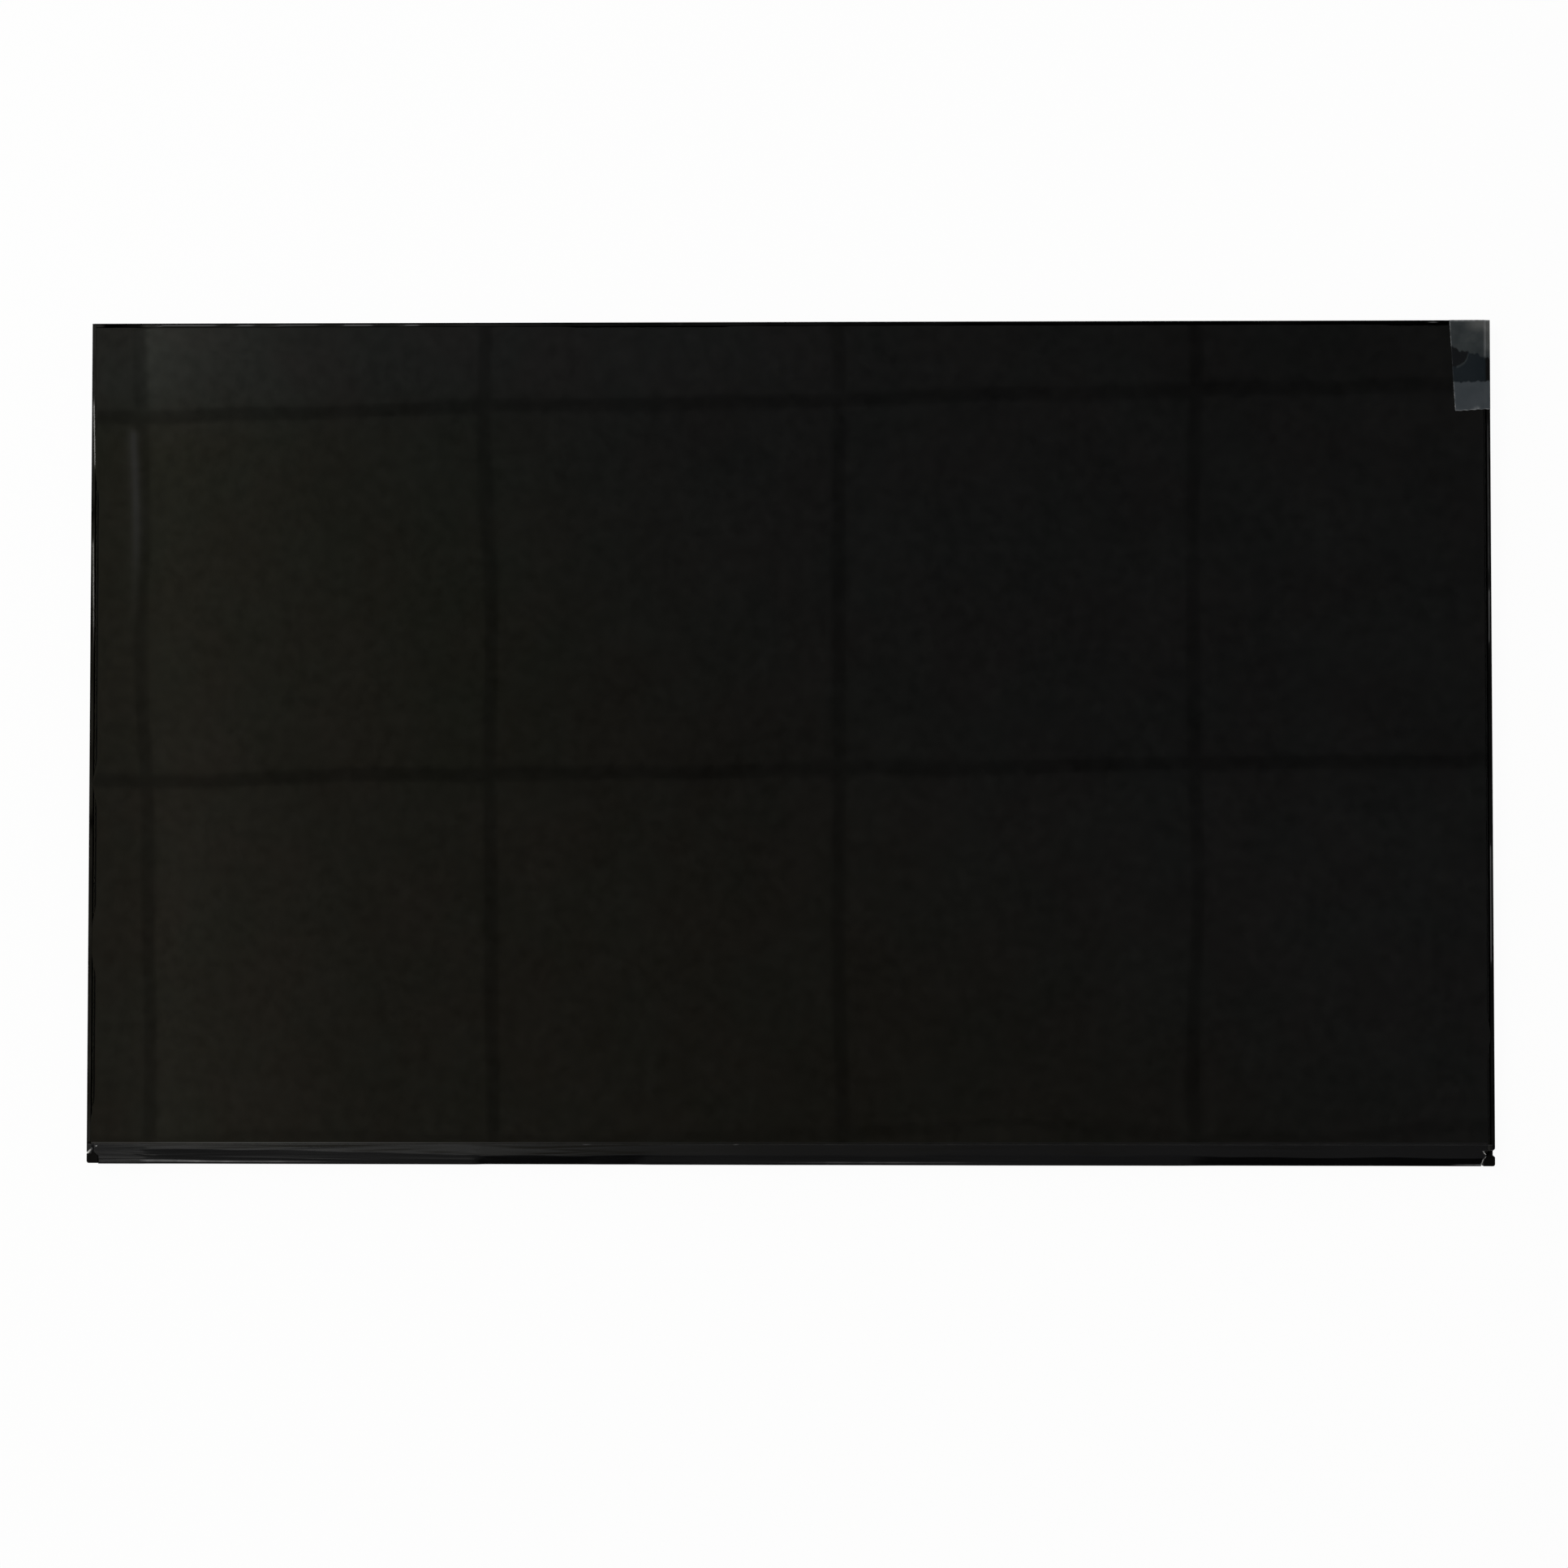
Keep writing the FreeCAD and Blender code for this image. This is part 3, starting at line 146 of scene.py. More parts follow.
# How steeply it falls, in degrees: on the glass, on a gentle run, how much more on a steep run, and on the
# even left corner, which ends between two places. The steep share changes along x: from, to and change.
TAPE_LEAN = 2.0
TAPE_RUN = 9.0
TAPE_STEEP = 25.0
TAPE_EVEN = 6.1
TAPE_CORNER = (-138.4, -136.8)
TAPE_STEEPS = ((-67.0, -64.0, 1.0), (-44.0, -40.0, -0.5), (-33.0, -29.0, -0.5), (82.0, 94.0, 1.0))
# Its creases are drawn by chance from these ranges: place along x, distance from the cut edge, length, width,
# slant and rise.
TAPE_SEED = 7
TAPE_CREASES = 60
CREASE_RANGES = ((-146, 146), (0.5, 4.2), (3.0, 22.0), (0.16, 0.42), (-0.05, 0.05), (-0.011, 0.020))
# Where the slit across its left corner starts and how far it runs, and the place and width of each nick.
# The slit is only a painted glint, and each nick only a brighter spot of the cut edge's painted highlight.
SLIT_START = -147.6
SLIT_LENGTH = 2.1
TAPE_NICKS = ((-42.9, 0.4), (-11.0, 0.3))

# The clear pull tab: a sheet on the film that steps down to the frame and folds over its edge.
TAB_COLUMNS = 64
TAB_ROWS = 150
TAB_BEND_STEPS = 8
TAB_FLAP_STEPS = 12
TAB_FILM = 0.05
TAB_LEFT_TOP = 141.2
TAB_LEFT_FOOT = 142.35
TAB_FOOT_LEFT = 70.6
TAB_FOOT_RIGHT = 71.0
TAB_STEP_START = 148.4
TAB_STEP_WIDTH = 0.8
TAB_STEP_DROP = 0.17
TAB_BEND = 0.18
TAB_TOOTH = 0.11
TAB_TOOTH_PITCH = 0.62
TAB_SWELL = 0.035
TAB_FILM_END = (148.75, 149.05)
# Its wetted zone, in shares of the tab's height: its upper line at the left, the fall of that line, its foot.
WET_TOP = 0.705
WET_FALL = 0.165
WET_FOOT = 0.312

# The surroundings, which are not part of the panel: a floor, a bank of overhead panels, a card and a lamp.
FLOOR_HALF = 30000.0
FLOOR_DROP = 0.02
FLOOR_WHITE = 0.955
OVERHEAD_HEIGHT = 2200.0
OVERHEAD_HALF = (2050.0, 1950.0)
OVERHEAD_COLUMNS = 160
OVERHEAD_ROWS = 240
# How a place seen in the face turns into a column and a row of the bank: shares of u, of v, and a start.
COLUMN_SHARES = (6.0085, 0.1246, 1.9139)
ROW_SHARES = (0.1237, -5.6494, 1.1577)
SCALE_SHARES = (0.033, 0.0473)
# The rows from which only the tape mirrors the bank.
NEAR_ROWS = (2.07, 2.25)
CARD_PLACE = (160.0, -120.0, 4.0)
CARD_REACH = 672.0
CARD_TURN = math.radians(75)
CARD_HEIGHT = 900.0
CARD_COLUMNS = 40
CARD_ROWS = 20
LAMP_PLACE = np.array([-1250.0, 550.0, 1300.0])
LAMP_SIZE = 800.0
LAMP_POWER = 15.0
LAMP_TINT = (1.0, 0.98, 0.95)


def smooth(low, high, amount):
    """0 below low, 1 above high, and the cubic 3t^2 - 2t^3 between them."""
    share = np.clip((amount - low) / (high - low), 0.0, 1.0)
    return share * share * (3.0 - 2.0 * share)


def bell(amount, middle, width):
    """A Gaussian: e to the power of minus the square of the distance from the middle over the width."""
    return np.exp(-(((amount - middle) / width) ** 2))


def box_mm(node):
    """The lowest and highest corner of a CAD node, in millimetres."""
    low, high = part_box(node)
    return np.array(low) / MM, np.array(high) / MM


# Meshes

def grid_faces(rows, columns):
    """Quads of a grid of points, each turned so that it looks along its row step cross its column step."""
    first = np.arange((rows - 1) * columns).reshape(rows - 1, columns)[:, :-1]
    return np.stack([first, first + columns, first + columns + 1, first + 1], -1).reshape(-1, 4)


def put_mesh(name, points, faces, uv):
    """One object at the origin from points in millimetres, quads and a UV place for each point."""
    mesh = bpy.data.meshes.new(name)
    mesh.from_pydata((points * MM).tolist(), [], faces.tolist())
    layer = mesh.uv_layers.new(name="UVMap")
    layer.data.foreach_set("uv", uv[faces.ravel()].astype(np.float32).ravel())
    mesh.shade_smooth()
    mesh.set_sharp_from_angle(angle=SHARP_ANGLE)
    made = bpy.data.objects.new(name, mesh)
    bpy.context.scene.collection.objects.link(made)
    return made


def closed_sheet(name, front, rear, uv):
    """A thin closed sheet: a front grid, a rear grid turned round, and a wall of quads along their rim."""
    rows, columns = front.shape[:2]
    count = rows * columns
    number = np.arange(count).reshape(rows, columns)
    rim = np.concatenate([number[:, 0], number[-1, 1:], number[-2::-1, -1], number[0, -2:0:-1]])
    onward = np.roll(rim, -1)
    quads = grid_faces(rows, columns)
    wall = np.stack([rim + count, onward + count, onward, rim], -1)
    faces = np.concatenate([quads, quads[:, ::-1] + count, wall])
    points = np.concatenate([front.reshape(-1, 3), rear.reshape(-1, 3)])
    return put_mesh(name, points, faces, np.tile(uv.reshape(-1, 2), (2, 1)))


def mark_points(piece, name, amounts):
    """Keeps one number for each point of a sheet's grid, the same on its front and rear."""
    layer = piece.data.attributes.new(name, "FLOAT", "POINT")
    layer.data.foreach_set("value", np.tile(amounts.ravel(), 2).astype(np.float32))


def rim_spaced(low, high, count):
    """Even places from low to high, with a few close ones at each end for the drooping rim."""
    inner = np.linspace(low + RIM_WIDTH, high - RIM_WIDTH, count)
    return np.concatenate([low + RIM_STEPS, inner, high - RIM_STEPS[::-1]])


def stretch(along, start, end, soft):
    """1 between start and end and 0 outside them, with cubic steps that reach soft to both sides of each."""
    return smooth(start - soft, start + soft, along) * (1.0 - smooth(end - soft, end + soft, along))


# Pieces

def askew(x):
    """How far the lower edge of the film and the cut edge of the tape drop at x: none at the right end."""
    return ASKEW * (0.5 - x / (2 * box_mm("edge_tape")[1][0]))


def film_edge(side, along):
    """How far the film's cut edge lies inside its layer along one side: less where it reaches outwards,
    with a small waver, the product of two sine waves."""
    reach = np.zeros_like(along)
    for place, start, end in FILM_REACHES:
        if place == side:
            reach = np.maximum(reach, stretch(along, start, end, FILM_REACH_SOFT))
    waver = FILM_WAVER * np.sin(along / 1.7) * np.sin(along / 4.1)
    return FILM_INSET[side] - FILM_REACH[side] * reach + waver


def make_face_film():
    """The clear film: height = its flat face + a sum of long sine waves of x and y, each with its own
    direction, length and phase, faded out at the rim, where the film droops by a cubic step. Its cut edge
    is pulled in or out along the left, right and top sides, and its foot runs askew."""
    chance = np.random.default_rng(FILM_SEED)
    low, high = box_mm("protective_film")
    x, y = np.meshgrid(rim_spaced(low[0], high[0], FILM_COLUMNS),
                       rim_spaced(low[1], high[1], FILM_ROWS), indexing="ij")
    heading = chance.uniform(0, math.tau, FILM_SWELLS)
    length = np.geomspace(FILM_WAVE_SHORT, FILM_WAVE_LONG, FILM_SWELLS)
    phase = chance.uniform(0, math.tau, FILM_SWELLS)
    turn = math.tau / length
    across = x[..., None] * np.cos(heading) + y[..., None] * np.sin(heading)
    height = FILM_SLOPE / math.sqrt(FILM_SWELLS / 2) / turn
    swell = (height * np.sin(across * turn + phase)).sum(-1)
    inset = np.minimum(np.minimum(x - low[0], high[0] - x), np.minimum(y - low[1], high[1] - y))
    droop = FILM_DROOP * (1.0 - smooth(0.0, FILM_DROOP_WIDTH, inset))
    z = high[2] + swell * smooth(0.0, FILM_FADE, inset) - droop
    left, right = smooth(FILM_PULL, 0.0, x - low[0]), smooth(FILM_PULL, 0.0, high[0] - x)
    top, foot = smooth(FILM_PULL, 0.0, high[1] - y), smooth(FILM_FOOT_PULL, 0.0, y - low[1])
    moved_x = x + film_edge("left", y) * left - film_edge("right", y) * right
    moved_y = y - film_edge("top", x) * top - askew(x) * foot
    front = np.stack([moved_x, moved_y, z], -1)
    rear = np.stack([moved_x, moved_y, np.full_like(x, low[2])], -1)
    piece = closed_sheet("face_film", front, rear, np.stack([x, y], -1) * UV_PER_MM)
    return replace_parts(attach(piece, BODY), "protective_film")


def wall_sheen(side, along):
    """How glossy a wall's top is along its side: slow sine waves, raised or lowered in the listed stretches."""
    wave = 0.16 * np.sin(along / 5.5 + 1.0) * np.sin(along / 13.0) + 0.08 * np.sin(along / 2.3)
    sheen = WALL_SHEEN[side] + wave
    for place, start, end, soft, change in SHEEN_CHANGES:
        if place == side:
            sheen = sheen + change * stretch(along, start, end, soft)
    return sheen


def make_wall_top(side):
    """The smooth top of one frame wall: a strip along the wall whose height is the running sum, from its
    outer edge inwards, of Gaussian bands of slope that drift across it along the listed stretches."""
    low, high = box_mm("mould_frame")
    across = np.linspace(0.0, WALL_WIDTH, WALL_COLUMNS)
    ends = (low[1] + WALL_FOOT, high[1] - WALL_HEAD)
    if side == "top":
        ends = (low[0] + WALL_WIDTH, high[0] - WALL_WIDTH)
    inner, along = np.meshgrid(across, np.linspace(*ends, WALL_ROWS), indexing="ij")
    slope = np.zeros_like(along)
    for place, start, end, first, last, share in WALL_TIPS:
        if place == side:
            middle = first + (last - first) * np.clip((along - start) / (end - start), 0.0, 1.0)
            soft = min(TIP_SOFT, 0.3 * (end - start))
            tip = share * stretch(along, start + soft, end - soft, soft)
            slope = slope + TIP_SLOPES[side] * tip * bell(inner, middle, TIP_WIDTHS[side])
    z = high[2] + WALL_SKIN + np.cumsum(slope, 0) * (across[1] - across[0])
    # Sheen raised where the skin tips paints its glints brighter; sheen falling to nothing at both edges
    # paints their shade.
    sheen = wall_sheen(side, along) + TIP_SHEEN * np.clip(slope / TIP_SLOPES[side], 0.0, 1.0)
    sheen = sheen * smooth(0.0, WALL_EDGE, inner - WALL_EDGE) * smooth(0.0, WALL_EDGE, WALL_WIDTH - inner)
    if side == "left":
        x, y = low[0] + WALL_INSET + inner, along
    elif side == "right":
        x, y = high[0] - WALL_INSET - inner, along
    else:
        x, y = along, high[1] - WALL_INSET - inner
    front = np.stack([x, y, z], -1)
    rear = np.stack([x, y, np.full_like(z, high[2] - WALL_SINK)], -1)
    if side != "left":
        front, rear, sheen = front[::-1], rear[::-1], sheen[::-1]
    if side == "top":
        front, rear, sheen = front[:, ::-1], rear[:, ::-1], sheen[:, ::-1]
    piece = closed_sheet(side + "_wall_top", front, rear, front[..., :2] * UV_PER_MM)
    mark_points(piece, "sheen", sheen)
    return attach(piece, BODY)


def tape_slopes(x, far):
    """How steeply the tape falls, in degrees, at x and at a distance far from its cut edge. It leans a
    little on the glass, folds over the chips to a gentle or a steep run, rolls over the lower edge and
    turns under it; each turn is a cubic step, and the gentle and steep stretches alternate along x.
    The left corner has no fold and falls evenly."""
    fold = TAPE_FOLD + 1.15 * smooth(-130, -58, x) + 0.30 * smooth(95, 125, x)
    fold = fold + 0.17 * np.sin(x / 9.0) * np.sin(x / 31.0 + 0.6) + 0.07 * np.sin(x / 3.7 + 2.0)
    fold = fold + 0.20 * bell(x, -42.0, 9.0)
    lean = TAPE_LEAN + 1.0 * np.sin(x / 8.3 + 0.4) * np.sin(x / 23.0 + 1.0)
    lean = lean + 1.4 * bell(far, fold - 0.1, 0.3) * bell(x, -120.0, 18.0)
    steep = sum(change * smooth(start, end, x) for start, end, change in TAPE_STEEPS)
    run = TAPE_RUN + 2.5 * np.sin(x / 11.0 + 0.5) * np.sin(x / 29.0) + TAPE_STEEP * steep
    corner = 1.0 - smooth(*TAPE_CORNER, x)
    even = TAPE_EVEN - 0.35 * far
    lean, run = lean + (even - lean) * corner, run + (even - run) * corner
    folded = lean + (run - lean) * smooth(0.0, 1.0, (far - fold) / TAPE_FOLD_TURN)
    rolled = folded + (90.0 - folded) * smooth(TAPE_ROLL, TAPE_ROLL + TAPE_ROLL_TURN, far)
    return rolled + 90.0 * smooth(TAPE_UNDER, TAPE_UNDER + TAPE_UNDER_TURN, far)


def tape_creases(chance, x, far):
    """Fine relief of the tape: long slanting creases, each a Gaussian ridge across with a Gaussian length."""
    relief = np.zeros_like(x)
    for _ in range(TAPE_CREASES):
        place, row, reach, width, slant, rise = [chance.uniform(*ends) for ends in CREASE_RANGES]
        middle = row + slant * (x - place)
        relief = relief + rise * bell(far, middle, width) * bell(x, place, reach)
    return relief


def tape_ends(far):
    """How far left and right the tape reaches at a distance far from its cut edge. At the left it covers
    the corner down to the foot; at the right a tear cuts in, swings out and runs in past the foot."""
    wide = box_mm("edge_tape")[1][0]
    left = wide + TAPE_PAST_LEFT - TAPE_FOOT_CUT * smooth(2.35, 2.6, far)
    swing = TEAR_DEPTH - 0.68 * bell(far, 2.15, 0.6) + 0.2 * smooth(3.2, 4.4, far)
    right = wide + TAPE_PAST_RIGHT - smooth(1.08, 1.22, far) * swing
    return -left + 0.03 * np.sin(far * 13.0), right + 0.03 * np.sin(far * 17.0 + 1.0)


def tape_marks(x, far, last):
    """Painted highlights on the tape: a pale glint at the torn right end and along a slit that curves down
    across the left corner as far = 0.44 + 0.25 t + 1.41 t^2, a highlight along the lower rim with a faint lit
    wash over the left corner, and a highlight along the cut edge, brighter at the left and at two nicks."""
    # Painted glint at the torn right end and along the slit across the left corner.
    torn_glint = smooth(1.0, 1.25, far) * (1.0 - smooth(4.7, 5.2, far)) * bell(x, last, 0.14)
    along = np.clip((SLIT_START - x) / SLIT_LENGTH, 0.0, 1.0)
    slit = bell(far, 0.44 + 0.25 * along + 1.41 * along ** 2, 0.07 + 0.22 * along)
    torn_glint = np.maximum(torn_glint, slit * smooth(0.0, 0.1, along))
    # Painted highlight along the lower rim in three stretches, and a faint lit wash over the left corner.
    rim_highlight = smooth(-139.0, -136.5, x) * (1.0 - smooth(-125.0, -92.0, x))
    rim_highlight = rim_highlight + 0.30 * bell(x, 20.0, 18.0) + smooth(140.0, 146.0, x)
    lower = smooth(-137.0, -120.0, x)
    middle = 3.84 + 0.16 * lower + 0.26 * smooth(60.0, 120.0, x)
    rim_highlight = rim_highlight * bell(far, middle, 0.24 - 0.10 * lower)
    rim_highlight = rim_highlight + 0.05 * smooth(2.6, 4.2, far) * (1.0 - smooth(-140.0, -137.5, x))
    # Painted highlight along the cut edge, brighter at the left and at the nicks.
    edge = 0.5 + 0.5 * smooth(-100.0, -150.0, x)
    edge = edge + 4.0 * sum(bell(x, place, width) for place, width in TAPE_NICKS)
    return torn_glint, rim_highlight, edge * bell(far, 0.0, 0.09)


def make_edge_tape():
    """Black tape round the lower edge. Each cut across it is the curve whose slope is given along its own
    length: its places are running sums of the slope's cosine and sine, scaled so that the bulge and the
    under edge come where the panel needs them. The creases lift it along its normal, and its two ends rise
    by a cubic step."""
    low, high = box_mm("edge_tape")
    far = np.linspace(0.0, TAPE_LENGTH, TAPE_ROWS)
    first, last = tape_ends(far)
    end = np.linspace(0.0, TAPE_END, TAPE_END_COLUMNS, endpoint=False)
    share = np.concatenate([end, np.linspace(TAPE_END, 1 - TAPE_END, TAPE_COLUMNS), 1 - end[::-1]])[:, None]
    x = first + (last - first) * share
    distance = np.broadcast_to(far, x.shape)
    slope = np.radians(tape_slopes(x, distance))
    step = far[1] - far[0]
    across, fall = np.cumsum(np.cos(slope) * step, 1), np.cumsum(np.sin(slope) * step, 1)
    bulge = TAPE_BULGE - TAPE_TAPER * x / high[0]
    across = across * (high[1] - low[1] + bulge - askew(x)) / across.max(1, keepdims=True)
    fall = fall * (high[2] + TAPE_LIFT - low[2]) / fall[:, -1:]
    fall = fall - TAPE_END_RISE * smooth(*TAPE_END_STEP, np.abs(x))
    relief = tape_creases(np.random.default_rng(TAPE_SEED), x, distance)
    normal = np.stack([np.zeros_like(x), -np.sin(slope), np.cos(slope)], -1)
    outer = np.stack([x, high[1] - askew(x) - across, high[2] + TAPE_LIFT - fall], -1)
    outer = outer + normal * relief[..., None]
    inner = outer - normal * TAPE_FILM
    uv = np.stack([x, distance], -1) * UV_PER_MM
    piece = closed_sheet("lower_edge_tape", outer[:, ::-1], inner[:, ::-1], uv[:, ::-1])
    # Painted highlights: glints at the torn end and the slit, along the lower rim and along the cut edge.
    for name, amounts in zip(("torn_glint", "rim_highlight", "cut_edge_glint"), tape_marks(x, distance, last)):
        mark_points(piece, name, amounts[:, ::-1])
    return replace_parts(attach(piece, BODY), "edge_tape")


def tab_profile(share):
    """Where the tab runs from its left edge: level, a cubic step down past the film, a quarter circle
    over the frame's edge and a straight flap. Gives how much of the top run each point has, x and z past
    that run, and where it ends."""
    low, high = box_mm("pull_tab")
    edge = high[0] - TAB_BEND
    turn = np.linspace(0.0, math.pi / 2, TAB_BEND_STEPS)[1:]
    bend_x = edge + TAB_BEND * np.sin(turn)
    bend_z = high[2] - TAB_STEP_DROP - TAB_BEND * (1 - np.cos(turn))
    flap_z = np.linspace(bend_z[-1], low[2], TAB_FLAP_STEPS)[1:]
    top = np.concatenate([share, np.ones(len(turn) + len(flap_z))])
    past_x = np.concatenate([np.full(len(share), edge), bend_x, np.full(len(flap_z), bend_x[-1])])
    past_z = np.concatenate([np.full(len(share), high[2]), bend_z, flap_z])
    return top, past_x, past_z, edge


def tab_zones(across, up):
    """How dry the tab is, 1 where air is left under it and 0 where it has wetted the film, and how deep a
    wet place looks. The wet zone lies between a line that falls to the right and a level line, both wavy;
    a curved open crease crosses it from the left and parts off a darker corner."""
    wave = 0.012 * np.sin(across * 21.0) + 0.008 * np.sin(across * 47.0 + 1.0)
    upper = WET_TOP - WET_FALL * across + wave + 0.02 * smooth(0.40, 0.46, across)
    lower = WET_FOOT + 0.5 * wave
    wet = smooth(-0.012, 0.012, upper - up) * smooth(-0.008, 0.008, up - lower)
    run = np.clip((across - 0.10) / 0.34, 0.0, 1.0)
    crease = 0.480 + 0.055 * run + 0.085 * run ** 5
    ends = smooth(0.09, 0.13, across) * (1 - smooth(0.43, 0.47, across))
    open_line = bell(up, crease, 0.013) * ends
    deep = smooth(0.0, 0.01, up - crease) * (1 - smooth(0.40, 0.46, across))
    return np.clip(1.0 - wet + 0.75 * open_line, 0.0, 1.0), deep


def make_pull_tab():
    """Clear tape: the profile from left to right carried up the panel. Its left edge is a triangle wave
    on a slant, its foot a slanting wavy cut, and the dry parts swell by small sine waves."""
    high = box_mm("pull_tab")[1]
    up = np.linspace(0.0, 1.0, TAB_ROWS)[None, :]
    share = np.linspace(0.0, 1.0, TAB_COLUMNS)
    top, past_x, past_z, edge = (part[:, None] if np.ndim(part) else part for part in tab_profile(share))
    foot = TAB_FOOT_LEFT + (TAB_FOOT_RIGHT - TAB_FOOT_LEFT) * top + 0.05 * np.sin(top * 31.0)
    y = foot + (high[1] - foot) * up
    tooth = np.abs((y[:1] / TAB_TOOTH_PITCH) % 1.0 - 0.5) * 2.0
    left = TAB_LEFT_FOOT + (TAB_LEFT_TOP - TAB_LEFT_FOOT) * up + TAB_TOOTH * tooth
    on_top = (top < 1.0) | (np.arange(len(top))[:, None] < len(share))
    x = np.where(on_top, left + (edge - left) * top, past_x)
    dry, deep = tab_zones(np.clip(top, 0, 1), up)
    firm = 1.0 - smooth(0.56, 0.62, up)
    start, width = TAB_STEP_START - 0.45 * firm, TAB_STEP_WIDTH + 1.0 * firm
    step = TAB_STEP_DROP * smooth(0.0, 1.0, (x - start) / width)
    swell = 0.5 + 0.5 * np.sin(x * 1.9 + y * 0.7) * np.sin(y * 1.3 - x * 0.4 + 1.0)
    lift = TAB_SWELL * dry * swell * smooth(0.0, 0.8, x - left)
    z = np.where(on_top, past_z - step + lift, past_z)
    front = np.stack([x, y, z], -1)
    inward = np.where(on_top, 0.0, smooth(0.0, TAB_BEND, x - edge))
    rear = front - TAB_FILM * np.stack([inward, np.zeros_like(x), 1.0 - inward], -1)
    uv = np.stack([np.broadcast_to(top, x.shape), y * 0.05], -1)
    piece = closed_sheet("clear_pull_tab", front, rear, uv)
    # Painted highlights: along the cut edges, a spot at the foot, and the upper right by the top edge and the
    # step.
    cut = np.minimum(np.minimum(x - left, y - foot), 0.45 * (high[1] - y))
    spot = bell(top, 0.62, 0.07) * bell(y, foot, 0.45)
    light = smooth(0.25, 0.75, top) * smooth(0.84, 0.96, up)
    light = light + 0.6 * smooth(0.80, 0.95, top) * smooth(0.62, 0.7, up)
    marks = {"dry": dry, "deep": deep, "cut_edge_glint": np.maximum(bell(cut, 0.0, 0.10), spot),
             "off_film": smooth(*TAB_FILM_END, x) * (1.0 - dry), "upper_highlight": light,
             "foot_zone": smooth(0.36, 0.30, up)}
    for name, amounts in marks.items():
        mark_points(piece, name, np.broadcast_to(amounts, x.shape))
    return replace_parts(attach(piece, BODY), "pull_tab")


# Finishes

def add(tree, kind, inputs=(), **settings):
    """A node of a kind; inputs give a socket, by name or number, a value or another node's output."""
    made = tree.nodes.new("ShaderNode" + kind)
    for name, setting in settings.items():
        setattr(made, name, setting)
    for key, given in dict(inputs).items():
        if isinstance(given, bpy.types.NodeSocket):
            tree.links.new(given, made.inputs[key])
        else:
            made.inputs[key].default_value = given
    return made


def new_finish(name, **constants):
    """A node material with its shader's constant values set; gives it, its tree, its shader and places."""
    material = bpy.data.materials.new(name)
    material.use_nodes = True
    tree = material.node_tree
    shader = tree.nodes["Principled BSDF"]
    for socket, amount in constants.items():
        shader.inputs[socket.replace("_", " ")].default_value = amount
    return material, tree, shader, add(tree, "TexCoord").outputs["Object"]


def colour(red, green, blue):
    """A colour that covers fully."""
    return (red, green, blue, 1.0)


def math_node(tree, operation, first, second=0.0, third=0.0):
    """One sum, product or the like of up to three amounts."""
    return add(tree, "Math", {0: first, 1: second, 2: third}, operation=operation).outputs[0]


def stretched(tree, place, x, y, z):
    """Places scaled along each axis."""
    return add(tree, "Mapping", {"Vector": place, "Scale": (x, y, z)}).outputs[0]


def noise(tree, place, scale, detail=3.0, roughness=0.5):
    """An amount that drifts from place to place."""
    inputs = {"Vector": place, "Scale": scale, "Detail": detail, "Roughness": roughness}
    return add(tree, "TexNoise", inputs).outputs["Fac"]


def ramp(tree, amount, *stops):
    """A colour ramp between two stops, each a position and a colour."""
    made = add(tree, "ValToRGB", {"Fac": amount})
    for point, (position, tint) in zip(made.color_ramp.elements, stops):
        point.position = position
        point.color = tint
    return made.outputs["Color"]


def span(tree, amount, low, high, to_low, to_high, smoothly=False):
    """An amount carried from one range to another, kept inside it."""
    inputs = {"Value": amount, "From Min": low, "From Max": high, "To Min": to_low, "To Max": to_high}
    kind = "SMOOTHSTEP" if smoothly else "LINEAR"
    return add(tree, "MapRange", inputs, interpolation_type=kind).outputs["Result"]


def mixed(tree, amount, first, second):
    """The first colour where the amount is 0, the second where it is 1."""
    return add(tree, "Mix", {0: amount, 6: first, 7: second}, data_type="RGBA").outputs[2]


def bump(tree, height, distance, strength):
    """A fine relief for a shader's normal."""
    inputs = {"Height": height, "Distance": distance, "Strength": strength}
    return add(tree, "Bump", inputs).outputs["Normal"]


def attribute(tree, name):
    """The number kept for each point under a name."""
    return add(tree, "Attribute", attribute_name=name).outputs["Fac"]


def plug(tree, shader, **sockets):
    """Links outputs to the shader's sockets of the same names."""
    for socket, given in sockets.items():
        tree.links.new(given, shader.inputs[socket.replace("_", " ")])


def film_over_black():
    """Clear glossy film on the black polariser, with faint haze and a few specks of dust."""
    material, tree, shader, place = new_finish("film_over_black", IOR=1.5)
    fine = noise(tree, place, 330.0, 3.0, 0.55)
    broad = math_node(tree, "MULTIPLY", noise(tree, place, 75.0), 0.6)
    haze = math_node(tree, "MULTIPLY_ADD", fine, 0.7, broad)
    black = ramp(tree, haze, (0.46, colour(0.0003, 0.0003, 0.0003)), (0.86, colour(0.0027, 0.0027, 0.0026)))
    cells = add(tree, "TexVoronoi", {"Vector": place, "Scale": 95.0})
    near = span(tree, cells.outputs["Distance"], 0.010, 0.022, 1.0, 0.0)
    chosen = math_node(tree, "GREATER_THAN", cells.outputs["Color"], 0.86)
    speck = math_node(tree, "MULTIPLY", near, chosen)
    plug(tree, shader, Base_Color=mixed(tree, speck, black, colour(0.07, 0.07, 0.066)),
         Roughness=span(tree, noise(tree, place, 90.0), 0.3, 0.7, 0.016, 0.028))
    return material


